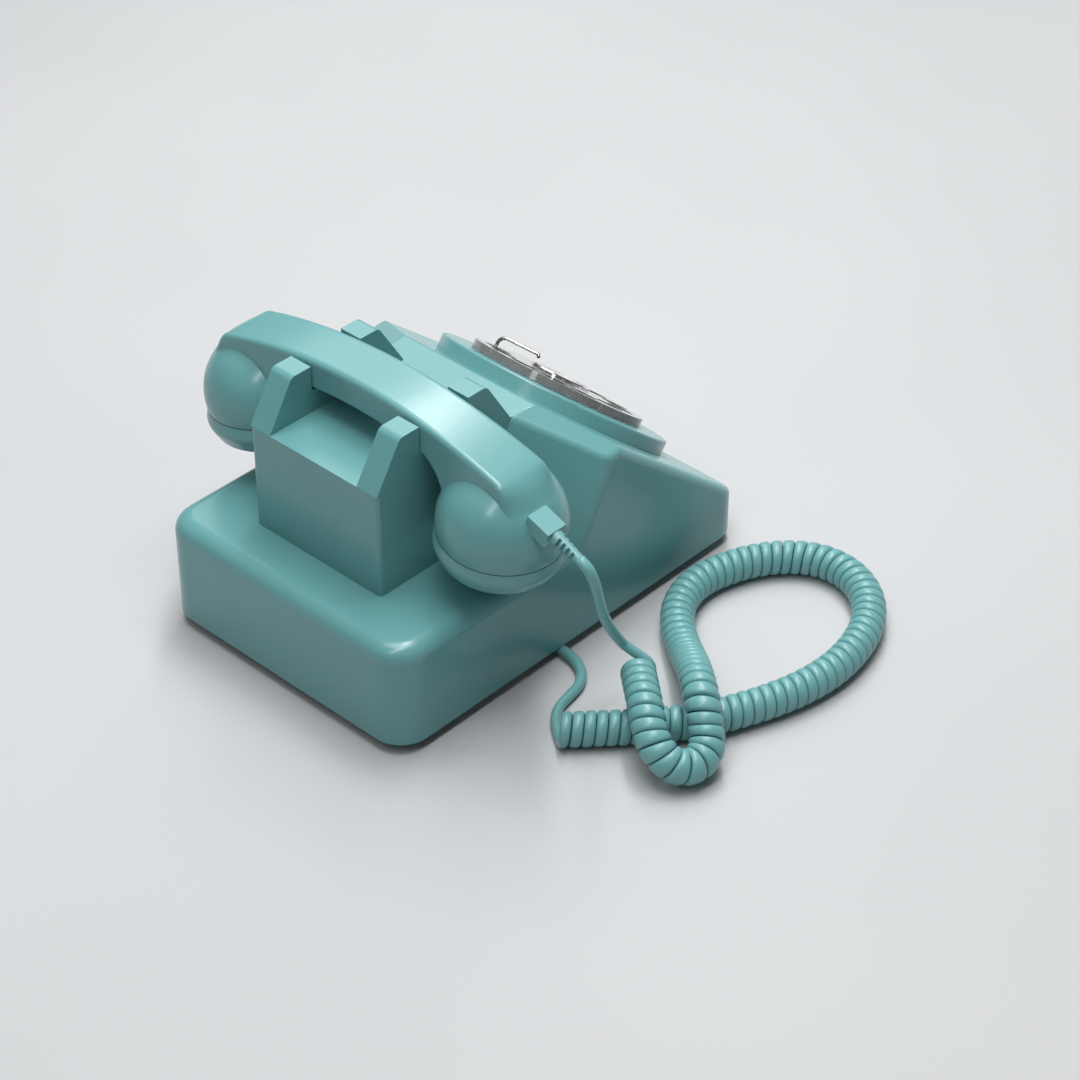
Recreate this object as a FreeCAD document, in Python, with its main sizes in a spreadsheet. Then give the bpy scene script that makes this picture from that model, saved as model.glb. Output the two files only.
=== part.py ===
import FreeCAD, Part
import Sketcher
import math
import os
import re
from FreeCAD import Placement, Rotation, Vector

# A desk telephone with a rotary dial and a curly handset cord.
# Millimetres and degrees. +Z is up, -Y is the front with the dial, +X is the user's right hand.
# The origin is on the table under the middle of the housing.
doc = FreeCAD.newDocument("rotary_telephone")
# Every driving size is written once, here, and goes into the sheet that the sub-parts are bound to.
driving = {
    # Housing
    "body_width": 152,  # housing, side to side
    "body_depth": 227,  # housing, front to back
    "corner_radius": 15.5,  # upright corners of the housing
    "foot_gap": 6,  # table to the housing's rim
    "plinth_top": 58,  # table to the flat top behind the hood
    "plinth_round": 8,  # rounding of the plinth's upper edge
    "wall": 2.8,  # moulded wall
    "slope_angle": 39.8,  # dial slope above level
    "brow_y": -8.6,  # upper edge of the dial slope
    "brow_half": 40.5,  # half the width of the upper edge
    "shoulder_y": -19.2,  # rear corner of the shoulder at the housing's side
    "shoulder_top": 93.8,  # height of the shoulder at the housing's side
    "hood_foot_y": 31,  # where the hood's rear face lands beside the tower
    "hood_round": 4.2,  # rounding of the hood's outer edges
    "hood_corner": 8,  # rounding of the hood's upright rear corners
    "brow_round": 2.5,  # rounding of the slope's upper edge
    "tower_top": 111.4,  # table to the shelf of the cradle block
    "tower_width": 78.8,  # cradle block, side to side
    "tower_rear": 87.8,  # rear face of the cradle block
    "tower_front": 5.6,  # where the cradle block meets the hood
    "tower_round": 2,  # rounding of the block's upright edges
    # Cradle
    "cradle_y": 46.9,  # middle of the handset's seat
    "saddle_width": 12.4,  # one saddle, side to side
    "seat_height": 122.2,  # table to the saddle's seat
    "prong_top": 135,  # table to the top of a prong
    "prong_flat": 11.3,  # flat top of a prong, front to back
    "prong_round": 4,  # rounding of a prong's sloping corner
    "handle_gap": 0.6,  # handle to prong on each side
    # Base
    "plate_thickness": 1.5,  # steel base plate
    "plate_recess": 0.5,  # plate above the rim
    "fit_gap": 0.3,  # loose fit between neighbours
    "bearing_gap": 0.05,  # radial running fit
    "foot_radius": 14,  # rubber foot
    "foot_inset": 21,  # foot from the housing's two sides
    "foot_stem": 2.9,  # radius of the stem through the plate
    "foot_stem_rise": 2.5,  # stem above the plate's underside
    "boss_radius": 5,  # screw boss under the roof
    "boss_inset": 11.5,  # boss from the housing's side
    "boss_apart": 22.5,  # boss from the foot beside it, front to back
    "screw_radius": 1.75,  # base screw shank
    "screw_depth": 12,  # base screw into its boss
    "screw_head": 3.2,  # base screw head radius
    "head_height": 2.2,  # base screw head
    # Dial, measured along the slope's normal from the slope
    "dial_down": 67.9,  # dial centre down the slope from its upper edge
    "dial_hole": 46,  # opening in the slope, radius
    "bezel_radius": 58,  # round plate on the slope
    "bezel_height": 7.3,  # round plate above the slope
    "bezel_bore": 40,  # opening in the round plate, radius
    "bezel_round": 1.2,  # rounding of the plate's upper edge
    "number_height": 4.8,  # underside of the number plate
    "number_thickness": 1,  # number plate
    "wheel_radius": 43.3,  # clear finger wheel
    "wheel_thickness": 3.9,  # clear finger wheel
    "hole_radius": 6.7,  # finger hole
    "hole_circle": 31.5,  # finger holes from the middle
    "hole_step": 30,  # angle from one finger hole to the next
    "first_hole": 30,  # angle of the first finger hole
    "hole_count": 10,  # finger holes
    "cap_radius": 15,  # cap in the middle of the wheel
    "cap_height": 1.9,  # cap above the wheel
    "cap_rim": 2,  # rim of the cap
    "cap_dish": 1,  # depth of the dish in the cap
    "shaft_radius": 3,  # dial shaft
    "flange_radius": 9,  # seat under the finger wheel
    "flange_height": 1.3,  # seat under the finger wheel
    "frame_thickness": 3,  # dial frame plate
    "standoff_radius": 22,  # ring that carries the number plate
    "standoff_wall": 2,  # ring that carries the number plate
    "hub_radius": 7,  # bearing boss of the dial frame
    "barrel_radius": 16,  # cup of the return spring
    "barrel_height": 6.5,  # cup of the return spring
    "gear_gap": 0.5,  # between the stages of the gear train
    "gear_teeth": 60,  # main gear
    "pinion_teeth": 12,  # governor pinion
    "gear_module": 0.8,  # tooth size
    "gear_thickness": 2.5,  # main gear
    "governor_angle": 135,  # place of the governor round the dial
    "governor_shaft": 1.5,  # governor shaft radius
    "drum_radius": 9,  # governor drum
    "drum_height": 4.8,  # governor drum
    "bridge_radius": 42,  # plate below the gear train
    "bridge_thickness": 2,  # plate below the gear train
    "post_radius": 3,  # bridge posts
    "post_circle": 37,  # bridge posts from the middle
    "dial_screw_radius": 1.5,  # dial screw shank
    "dial_screw_head": 2.6,  # dial screw head radius
    "dial_screw_bite": 5,  # dial screw into the round plate
    "contact_width": 14,  # pulse contact stack
    "contact_depth": 11,  # pulse contact stack
    "contact_height": 11,  # pulse contact stack
    "stop_radius": 0.9,  # finger stop wire
    "stop_circle": 50.3,  # foot of the finger stop from the middle
    "stop_tip": 36,  # tip of the finger stop from the middle
    "stop_angle": -13.3,  # finger stop round the dial
    "stop_swing": -19.7,  # tip of the stop from its foot
    "stop_clear": 3.6,  # under the stop, above the wheel
    # Handset
    "cup_reach": 73.6,  # ball's middle from the handset's middle
    "dome_radius": 29.2,  # ball of a cup
    "dome_height": 95.4,  # table to the ball's middle
    "cup_tilt": 7,  # cups lean in towards each other
    "seam_drop": 6.2,  # ball's middle to the seam of the cap
    "handle_top": 138.3,  # table to the handle's top in the middle
    "handle_shoulder": 80,  # where the handle's long curve ends
    "shoulder_drop": 11.3,  # fall of the long curve
    "end_turn": 54,  # where the handle's slanted end lies on the ball, from straight up
    "end_sink": 0.12,  # end of the handle below the ball's surface
    "end_soft": 4.5,  # softness of the corner above the slanted end
    "crown_from": 20,  # where the handle's top starts to round over across, from straight up
    "crown_full": 42,  # where it is as round across as the ball
    "handle_under": 125.6,  # table to the underside in the middle
    "handle_bottom": 14.4,  # half the handle's width at its underside
    "handle_crown": 13.1,  # half the handle's width at its top
    "handle_round": 2.6,  # rounding of the handle's upper edges
    "cup_bore": 25.2,  # bore of a cup
    "cup_depth": 9,  # bore above the seam
    "cap_depth": 14,  # seam to the face of a cap
    "cap_top": 28.5,  # radius of a cap at the seam
    "cap_side": 29.8,  # widest radius of a cap
    "cap_swell": 6,  # seam to the widest part of a cap
    "cap_face": 25.5,  # face of a cap, radius
    "cap_round": 3,  # rounding of a cap's edges
    "cap_wall": 2.5,  # face of a cap
    "neck_height": 4.5,  # threaded neck of a cap above the seam
    "neck_wall": 2.2,  # threaded neck of a cap
    "sound_hole": 1.4,  # sound hole radius
    "capsule_lip": 18.5,  # inner radius of a capsule's rim
    "capsule_rise": 14,  # capsule, face to back
    # Plug and cord
    "plug_width": 11,  # plug across
    "plug_thickness": 8,  # plug through
    "plug_reach": 109.1,  # outer upper edge of the plug from the middle
    "plug_height": 110.5,  # table to the plug's outer upper edge
    "plug_offset": 4,  # plug towards the rear of the handset's middle
    "plug_length": 12.5,  # plug, with what sits in its socket
    "plug_tilt": 20,  # plug points down by this angle
    "relief_radius": 3.6,  # strain relief at the plug
    "relief_length": 15,  # strain relief
    "relief_slot": 1.6,  # slots of the strain relief
    "wire_radius": 2.3,  # cord
    "curl_radius": 5.9,  # middle of the wire in the curls
    "curl_gap": 0.7,  # between neighbouring curls
    "curl_start": 30,  # first curl starts this far past its top
    "clamp_length": 12,  # cord clamp under the plate
    "clamp_width": 13,  # cord clamp under the plate
    # Ringer
    "gong_clear": 8.2,  # gongs from the rear wall
    "gong_spacing": 60,  # gong to gong
    "gong_radius": 24.5,  # gong
    "gong_height": 16,  # gong
    "gong_wall": 1.5,  # gong
    "gong_rise": 16,  # gong rim above the plate
    "gong_round": 9,  # rounding of a gong's crown
    "ringer_strap": 2,  # ringer frame sheet
    "coil_spacing": 26,  # coil to coil
    "coil_radius": 9,  # winding
    "coil_flange": 10.5,  # spool flange
    "coil_length": 28,  # spool
    "coil_rise": 16,  # coil axis above the plate
    "core_radius": 3.5,  # iron core
    "core_proud": 1,  # core past the spool
    "armature_gap": 1.9,  # core to armature
    "armature_length": 40,  # armature
    "armature_height": 12,  # armature
    "armature_thickness": 2.5,  # armature
    "pivot_radius": 2,  # armature pivot pin
    "pivot_hub": 4,  # armature hub
    "clapper_ball": 3.4,  # clapper ball radius
    "clapper_rod": 1.2,  # clapper rod radius
    # Hook switch
    "plunger_radius": 2.8,  # hook plunger
    "yoke_clear": 6.6,  # yoke under the shelf, with room to rise
    "yoke_thickness": 3,  # yoke
    "yoke_width": 8,  # yoke, front to back
    "hook_room": 13,  # bracket's floor to the yoke
    "hook_sheet": 2,  # bracket sheet
    "hook_inside": 20,  # bracket between its cheeks
    "hook_length": 60,  # bracket, side to side
    "spring_radius": 5,  # hook spring, middle of its wire
    "spring_wire": 0.5,  # hook spring wire radius
    "spring_turns": 5,  # hook spring turns
    "leaf_reach": 20,  # contact leaves
    "leaf_thickness": 0.5,  # contact leaves
    # Network
    "network_x": -51,  # network block, middle
    "network_y": 12,  # network block, middle
    "network_width": 30,  # network block
    "network_depth": 40,  # network block
    "network_height": 24,  # network block
    "terminal_radius": 2.6,  # terminal screw head
    "terminal_rise": 1.8,  # terminal screw head
}
sheet = doc.addObject("Spreadsheet::Sheet", "sizes")
for row, (name, number) in enumerate(driving.items(), start=1):
    sheet.set("A%d" % row, name)
    sheet.set("B%d" % row, str(number))
    sheet.setAlias("B%d" % row, name)
doc.recompute()


def tie(words):
    """Turn an expression in size names into one that reads the sheet's cells."""
    return re.sub("[a-z][a-z_]*", lambda m: "sizes." + m[0] if m[0] in driving else m[0], words)


def val(words):
    """The number that an expression in size names comes to."""
    return float(sheet.evalExpression(words))


# Drawing and forming of the sub-parts
def new_body(label):
    body = doc.addObject("PartDesign::Body", label)
    body.Label = label
    return body


def new_sketch(body, plane, lift="0"):
    sketch = body.newObject("Sketcher::SketchObject", body.Name + "_sketch")
    support = [f for f in body.Origin.OriginFeatures if f.Role == plane]
    sketch.AttachmentSupport = [(support[0], "")]
    sketch.MapMode = "FlatFace"
    sketch.setExpression("AttachmentOffset.Base.z", tie(lift))
    return sketch


def hold(sketch, kind, numbers, words):
    """Constrain one measure of a sketch and bind it to the sheet."""
    index = sketch.addConstraint(Sketcher.Constraint(kind, *numbers, val(words)))
    sketch.setExpression("Constraints[%d]" % index, tie(words))


def outline(sketch, corners):
    """A closed outline of straight sides, with every corner bound to the sheet."""
    points = [Vector(val(x), val(y), 0) for x, y in corners]
    first = sketch.GeometryCount
    count = len(points)
    for i in range(count):
        sketch.addGeometry(Part.LineSegment(points[i], points[(i + 1) % count]))
    for i in range(count):
        sketch.addConstraint(Sketcher.Constraint("Coincident", first + i, 2, first + (i + 1) % count, 1))
    for i, (x, y) in enumerate(corners):
        hold(sketch, "DistanceX", (-1, 1, first + i, 1), x)
        hold(sketch, "DistanceY", (-1, 1, first + i, 1), y)


def circles(sketch, middles, radius):
    for x, y in middles:
        centre = Vector(val(x), val(y), 0)
        index = sketch.addGeometry(Part.Circle(centre, Vector(0, 0, 1), val(radius)))
        hold(sketch, "DistanceX", (-1, 1, index, 3), x)
        hold(sketch, "DistanceY", (-1, 1, index, 3), y)
        hold(sketch, "Radius", (index,), radius)


def pad(body, sketch, length, both_ways=False):
    feature = body.newObject("PartDesign::Pad", body.Name + "_pad")
    feature.Profile = sketch
    feature.setExpression("Length", tie(length))
    feature.SideType = "Symmetric" if both_ways else "One side"
    doc.recompute()
    return feature


def pocket(body, sketch, depth=None, upward=False):
    """Cut a sketch into the body, right through or to a depth, and check that it cut."""
    before = body.Shape.Volume
    feature = body.newObject("PartDesign::Pocket", body.Name + "_pocket")
    feature.Profile = sketch
    feature.Reversed = upward
    if depth:
        feature.setExpression("Length", tie(depth))
    else:
        feature.Type = "ThroughAll"
    doc.recompute()
    if body.Shape.Volume >= before:
        raise ValueError(body.Label + ": a pocket cut nothing")
    return feature


def turned(label, profile):
    """A body turned about Z from an outline of (radius, height) corners."""
    body = new_body(label)
    sketch = new_sketch(body, "XZ_Plane")
    outline(sketch, profile)
    feature = body.newObject("PartDesign::Revolution", label + "_turn")
    feature.Profile = sketch
    feature.ReferenceAxis = (sketch, ["V_Axis"])
    doc.recompute()
    return body


def around(body, feature, count, sweep):
    """Repeat a feature round the body's Z axis."""
    axis = [f for f in body.Origin.OriginFeatures if f.Role == "Z_Axis"]
    pattern = body.newObject("PartDesign::PolarPattern", body.Name + "_pattern")
    pattern.Originals = [feature]
    pattern.Axis = (axis[0], [""])
    pattern.setExpression("Occurrences", tie(count))
    pattern.setExpression("Angle", tie(sweep))
    body.Tip = pattern
    doc.recompute()


def rounded(body, radius, chosen):
    """Fillet the edges of a body that the chooser picks."""
    before = body.Tip
    picked = ["Edge%d" % (i + 1) for i, edge in enumerate(before.Shape.Edges) if chosen(edge)]
    feature = body.newObject("PartDesign::Fillet", body.Name + "_round")
    feature.Base = (before, picked)
    feature.setExpression("Radius", tie(radius))
    body.Tip = feature
    doc.recompute()


def is_circle(edge, radius, height):
    """Whether an edge is a level circle of this radius at this height."""
    if edge.Curve.TypeId != "Part::GeomCircle":
        return False
    return abs(edge.Curve.Radius - radius) < 1e-4 and abs(edge.Curve.Center.z - height) < 1e-4


def shaped(label, shape):
    """A sub-part whose form is made by Part's own functions from the sheet's sizes."""
    feature = doc.addObject("Part::Feature", label)
    feature.Label = label
    feature.Shape = shape
    return feature


def copies(label, pattern, places):
    """A sub-part of several separate, equal solids."""
    solids = []
    for place in places:
        solid = pattern.Shape.copy()
        solid.Placement = place.multiply(solid.Placement)
        solids.append(solid)
    return shaped(label, Part.makeCompound(solids))


def at(x, y, z):
    return Placement(Vector(x, y, z), Rotation())


def cylinder(radius, low, high, x=0, y=0):
    return Part.makeCylinder(radius, high - low, Vector(x, y, low))


def block(low, high):
    span = Vector(*high) - Vector(*low)
    return Part.makeBox(span.x, span.y, span.z, Vector(*low))


def upright(box, radius, rear_only=False):
    """A box with its upright edges rounded, all four or only the two at the rear."""
    middle = box.BoundBox.Center.y
    edges = [e for e in box.Edges if abs(e.tangentAt(e.FirstParameter).z) > 0.9]
    return box.makeFillet(radius, [e for e in edges if e.CenterOfMass.y > middle or not rear_only])


def below(shape, point, normal, reach=600):
    """What is left of a shape behind the plane through a point with an outward normal."""
    away = Part.makeBox(reach, reach, reach, Vector(-reach / 2, -reach / 2, 0))
    away.Placement = Placement(point, Rotation(Vector(0, 0, 1), normal))
    return shape.cut(away)


def facing(a, b, c, outward):
    """Unit normal of the plane through three points, on the outward side."""
    normal = (b - a).cross(c - a)
    normal.normalize()
    return normal if normal.dot(outward) > 0 else normal * -1


half_width = val("body_width / 2")
half_depth = val("body_depth / 2")
rim = val("foot_gap")
plate_low = val("foot_gap + plate_recess")
plate_top = val("foot_gap + plate_recess + plate_thickness")
slope = math.radians(val("slope_angle"))
slope_out = Vector(0, -math.sin(slope), math.cos(slope))
brow = Vector(0, val("brow_y"), val("tower_top"))
dial_middle = brow + Vector(0, -math.cos(slope), -math.sin(slope)) * val("dial_down")
on_dial = Placement(dial_middle, Rotation(Vector(1, 0, 0), val("slope_angle")))
tower_half = val("tower_width / 2")
cradle_y = val("cradle_y")
saddle_x = val("tower_width / 2 - saddle_width / 2")


# Housing: a moulded shell in one piece
def hood(inset):
    """The sloping hood: the housing's outline, trimmed by the slope, the hips and the rear faces."""
    low = (inset - half_width, inset - half_depth, rim - inset)
    high = (half_width - inset, val("hood_foot_y"), val("tower_top") - inset)
    form = block(low, high)
    front = [e for e in form.Edges if abs(e.tangentAt(e.FirstParameter).z) > 0.9 and e.CenterOfMass.y < 0]
    form = form.makeFillet(val("corner_radius") - inset, front)
    form = below(form, brow - slope_out * inset, slope_out)
    for side in (-1, 1):
        ridge = Vector(side * tower_half, val("tower_front"), val("tower_top"))
        corner = Vector(side * half_width, val("shoulder_y"), val("shoulder_top"))
        brow_end = Vector(side * val("brow_half"), brow.y, brow.z)
        foot = Vector(side * tower_half, val("hood_foot_y"), val("plinth_top"))
        hip = facing(ridge, corner, brow_end, Vector(side, 0, 1))
        rear = facing(ridge, corner, foot, Vector(side, 1, 0))
        form = below(form, corner - hip * inset, hip)
        form = below(form, corner - rear * inset, rear)
    return form


def plinth(inset):
    low = (inset - half_width, brow.y, rim - inset)
    high = (half_width - inset, half_depth - inset, val("plinth_top") - inset)
    return upright(block(low, high), val("corner_radius") - inset, rear_only=True)


def tower(inset):
    low = (inset - tower_half, brow.y + val("hood_round"), rim - inset)
    high = (tower_half - inset, val("tower_rear") - inset, val("tower_top") - inset)
    return block(low, high)


def saddle(side):
    """One saddle: two prongs with sloping outer faces and the seat between them."""
    gap = val("handle_bottom + handle_gap")
    top = gap + val("prong_flat")
    foot = val("tower_rear - cradle_y")
    profile = [(foot, "tower_top"), (top, "prong_top"), (gap, "prong_top"), (gap, "seat_height")]
    rear = [Vector(0, cradle_y + reach, val(height)) for reach, height in profile]
    front = [Vector(0, cradle_y - reach, val(height)) for reach, height in reversed(profile)]
    face = Part.Face(Part.makePolygon(rear + front + rear[:1]))
    form = face.extrude(Vector(val("saddle_width"), 0, 0))
    form.translate(Vector(side * saddle_x - val("saddle_width / 2"), 0, 0))
    corners = [e for e in form.Edges
               if abs(e.CenterOfMass.z - val("prong_top")) < 1e-4 and e.Length > val("saddle_width") - 1e-4
               and abs(e.CenterOfMass.y - cradle_y) > top - 1e-4]
    return form.makeFillet(val("prong_round"), corners)


def outer_edges(form):
    """The hood's outer edges: round its slope, its shoulders and up its rear corners."""
    picked = []
    for edge in form.Edges:
        middle = edge.CenterOfMass
        ends = [v.Point for v in edge.Vertexes]
        lowest = min(p.z for p in ends)
        at_side = all(abs(abs(p.x) - half_width) < 1e-4 for p in ends)
        at_front = middle.y < val("corner_radius") - half_depth and lowest > rim + 1
        if lowest > rim + 1 and at_side or at_front and abs(middle.z - lowest) < val("corner_radius"):
            picked.append(edge)
    return picked


def rear_corners(form):
    """The hood's upright rear corners, at the housing's sides."""
    return [e for e in form.Edges if all(abs(abs(v.X) - half_width) < 1e-4 for v in e.Vertexes)
            and e.CenterOfMass.y > val("shoulder_y") and e.BoundBox.ZMin > rim - 1e-4
            and e.BoundBox.ZLength > 10
            and abs(e.CenterOfMass.x) > half_width - 1e-4]


def brow_edges(form):
    """The hood's upper edges: the brow across the top, the hips at its ends and the ridges behind them."""
    level = [e for e in form.Edges if abs(e.CenterOfMass.z - val("tower_top")) < 1e-4
             and e.CenterOfMass.y < val("tower_front") and e.Curve.TypeId == "Part::GeomLine"]
    ridges = [e for e in form.Edges if e.Curve.TypeId == "Part::GeomLine"
              and e.BoundBox.ZMax > val("tower_top") - 1e-4
              and val("shoulder_top") < e.CenterOfMass.z < val("tower_top") - 1
              and e.CenterOfMass.y > val("shoulder_y")
              and e.BoundBox.YMax > val("tower_front") - 1e-3]
    return level + ridges


hood_form = hood(0)
hood_form = hood_form.makeFillet(val("hood_corner"), rear_corners(hood_form))
hood_form = hood_form.makeFillet(val("hood_round"), outer_edges(hood_form))
hood_form = hood_form.makeFillet(val("brow_round"), brow_edges(hood_form))
plinth_form = plinth(0)
plinth_rim = [e for e in plinth_form.Edges
              if abs(e.BoundBox.ZMin - val("plinth_top")) < 1e-4 and e.BoundBox.YMax > brow.y + 1]
plinth_form = plinth_form.makeFillet(val("plinth_round"), plinth_rim)
tower_form = upright(tower(0), val("tower_round"), rear_only=True)
outside = hood_form.multiFuse([plinth_form, tower_form, saddle(-1), saddle(1)]).removeSplitter()
inside = hood(val("wall")).multiFuse([plinth(val("wall")), tower(val("wall"))])
shell = outside.cut(inside)

boss_places = [(sx * (half_width - val("boss_inset")), sy * val("body_depth / 2 - foot_inset - boss_apart"))
               for sx in (-1, 1) for sy in (-1, 1)]
bosses = []
for x, y in boss_places:
    boss = cylinder(val("boss_radius"), plate_top, val("tower_top"), x, y).common(inside)
    bosses.append(boss.cut(cylinder(val("screw_radius"), plate_top, plate_top + val("screw_depth"), x, y)))
shell = shell.multiFuse(bosses).removeSplitter()

plunger_hole = val("plunger_radius + bearing_gap")
dial_opening = cylinder(val("dial_hole"), -val("wall") * 4, val("wall") * 4)
dial_opening.Placement = on_dial
holes = [cylinder(plunger_hole, val("tower_top - wall - yoke_clear"), val("prong_top"),
                  side * saddle_x, cradle_y)
         for side in (-1, 1)]
shaped("housing", shell.cut(Part.makeCompound(holes + [dial_opening])))

# Base plate: sheet steel inside the rim, held by four screws from below
plate_gap = val("wall + fit_gap")
plate = block((plate_gap - half_width, plate_gap - half_depth, plate_low),
              (half_width - plate_gap, half_depth - plate_gap, plate_top))
plate = upright(plate, val("corner_radius") - plate_gap)
foot_x = val("body_width / 2 - foot_inset")
foot_y = val("body_depth / 2 - foot_inset")
foot_places = [(sx * foot_x, sy * foot_y) for sx in (-1, 1) for sy in (-1, 1)]
drilled = [cylinder(val("foot_stem + bearing_gap"), rim, plate_top + 1, x, y) for x, y in foot_places]
drilled += [cylinder(val("screw_radius + bearing_gap"), rim, plate_top + 1, x, y) for x, y in boss_places]
shaped("base_plate", plate.cut(Part.makeCompound(drilled)))

screw = turned("base_screw_form", [
    ("0", "-head_height"), ("screw_head * 0.8", "-head_height"), ("screw_head", "-head_height / 2"),
    ("screw_head", "0"), ("screw_radius - bearing_gap", "0"),
    ("screw_radius - bearing_gap", "plate_thickness + screw_depth - 1"),
    ("0", "plate_thickness + screw_depth")])
copies("base_screws", screw, [at(x, y, plate_low) for x, y in boss_places])

# Feet: turned rubber buttons whose stems pass through the plate
foot = turned("foot_form", [
    ("0", "0"), ("foot_radius - 2", "0"), ("foot_radius", "2"),
    ("foot_radius - 1", "foot_gap + plate_recess"),
    ("foot_stem", "foot_gap + plate_recess"), ("foot_stem", "foot_gap + plate_recess + foot_stem_rise"),
    ("0", "foot_gap + plate_recess + foot_stem_rise")])
copies("rubber_feet", foot, [at(x, y, 0) for x, y in foot_places])

# Dial: everything here is measured from the slope, along its normal
bezel = turned("dial_bezel", [
    ("bezel_bore", "0"), ("bezel_radius", "0"), ("bezel_radius", "bezel_height"),
    ("bezel_bore", "bezel_height")])
rounded(bezel, "bezel_round", lambda e: is_circle(e, val("bezel_radius"), val("bezel_height")))
screw_circle = "(bezel_bore + dial_hole) / 2"
screw_angles = (90, 210, 330)


def ring_points(circle, angles):
    """Middles on a circle, as expressions in size names."""
    return [("(%s) * cos(%d deg)" % (circle, angle), "(%s) * sin(%d deg)" % (circle, angle))
            for angle in angles]


bezel_holes = new_sketch(bezel, "XY_Plane")
circles(bezel_holes, ring_points(screw_circle, screw_angles), "dial_screw_radius + bearing_gap")
pocket(bezel, bezel_holes, "dial_screw_bite", upward=True)
bezel.Placement = on_dial

frame_radius = "dial_hole - fit_gap"
frame = turned("dial_frame", [
    ("shaft_radius + bearing_gap", "-frame_thickness"), (frame_radius, "-frame_thickness"),
    (frame_radius, "0"),
    ("standoff_radius", "0"), ("standoff_radius", "number_height"),
    ("standoff_radius - standoff_wall", "number_height"), ("standoff_radius - standoff_wall", "0"),
    ("hub_radius", "0"), ("hub_radius", "number_height - fit_gap"),
    ("shaft_radius + bearing_gap", "number_height - fit_gap")])
governor_circle = "gear_module * (gear_teeth + pinion_teeth) / 2"
governor_place = [("%s * cos(governor_angle * 1 deg)" % governor_circle,
                   "%s * sin(governor_angle * 1 deg)" % governor_circle)]
frame_holes = new_sketch(frame, "XY_Plane")
circles(frame_holes, ring_points(screw_circle, screw_angles), "dial_screw_radius + bearing_gap")
circles(frame_holes, governor_place, "governor_shaft + bearing_gap")
pocket(frame, frame_holes)
frame.Placement = on_dial

dial_screw = turned("dial_screw_form", [
    ("0", "-dial_screw_head"), ("dial_screw_head", "-dial_screw_head"), ("dial_screw_head", "0"),
    ("dial_screw_radius", "0"), ("dial_screw_radius", "frame_thickness + dial_screw_bite - fit_gap"),
    ("0", "frame_thickness + dial_screw_bite - fit_gap")])
screw_reach = val(screw_circle)
screw_spots = [at(screw_reach * math.cos(math.radians(a)), screw_reach * math.sin(math.radians(a)),
                  -val("frame_thickness")) for a in screw_angles]
copies("dial_screws", dial_screw, [on_dial.multiply(spot) for spot in screw_spots])

number_top = "number_height + number_thickness"
number_plate = turned("number_plate", [
    ("flange_radius + fit_gap", "number_height"), ("bezel_bore - fit_gap", "number_height"),
    ("bezel_bore - fit_gap", number_top), ("flange_radius + fit_gap", number_top)])
number_plate.Placement = on_dial

wheel_low = "bezel_height + fit_gap"
wheel_top = "bezel_height + fit_gap + wheel_thickness"
wheel = turned("finger_wheel", [
    ("shaft_radius + bearing_gap", wheel_low), ("wheel_radius", wheel_low), ("wheel_radius", wheel_top),
    ("shaft_radius + bearing_gap", wheel_top)])
finger_hole = new_sketch(wheel, "XY_Plane", wheel_top)
circles(finger_hole, [("hole_circle * cos(first_hole * 1 deg)", "hole_circle * sin(first_hole * 1 deg)")],
        "hole_radius")
around(wheel, pocket(wheel, finger_hole), "hole_count", "hole_step * (hole_count - 1)")
wheel.Placement = on_dial

center_cap = turned("dial_center_cap", [
    ("0", wheel_top), ("cap_radius", wheel_top), ("cap_radius", wheel_top + " + cap_height - 0.6"),
    ("cap_radius - 0.8", wheel_top + " + cap_height"), ("cap_radius - cap_rim", wheel_top + " + cap_height"),
    ("cap_radius - cap_rim", wheel_top + " + cap_height - cap_dish"),
    ("0", wheel_top + " + cap_height - cap_dish")])
center_cap.Placement = on_dial

barrel_low = "-frame_thickness - barrel_height"
gear_top = barrel_low + " - gear_gap"
gear_low = gear_top + " - gear_thickness"
drum_top = gear_low + " - gear_gap"
bridge_top = drum_top + " - drum_height - gear_gap"
bridge_low = bridge_top + " - bridge_thickness"
shaft = turned("dial_shaft", [
    ("0", bridge_low), ("shaft_radius", bridge_low), ("shaft_radius", wheel_low + " - flange_height"),
    ("flange_radius", wheel_low + " - flange_height"), ("flange_radius", wheel_low),
    ("shaft_radius", wheel_low),
    ("shaft_radius", wheel_top), ("0", wheel_top)])
shaft.Placement = on_dial

barrel = turned("spring_barrel", [
    ("shaft_radius + fit_gap", barrel_low), ("barrel_radius", barrel_low),
    ("barrel_radius", "-frame_thickness"),
    ("shaft_radius + fit_gap", "-frame_thickness")])
barrel.Placement = on_dial


def toothed(teeth, module, bore, low, high, turn):
    """A spur gear with straight-flanked teeth; the first tooth or gap is at the given angle."""
    pitch = teeth * module / 2
    step = 2 * math.pi / teeth
    levels = [(pitch - 1.2 * module, -0.36), (pitch, -0.22), (pitch + 0.85 * module, -0.1),
              (pitch + 0.85 * module, 0.1), (pitch, 0.22), (pitch - 1.2 * module, 0.36)]
    corners = []
    for tooth in range(teeth):
        for reach, share in levels:
            angle = turn + step * (tooth + share)
            corners.append(Vector(reach * math.cos(angle), reach * math.sin(angle), low))
    face = Part.Face(Part.makePolygon(corners + corners[:1]))
    return face.extrude(Vector(0, 0, high - low)).cut(cylinder(bore, low - 1, high + 1))


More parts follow.
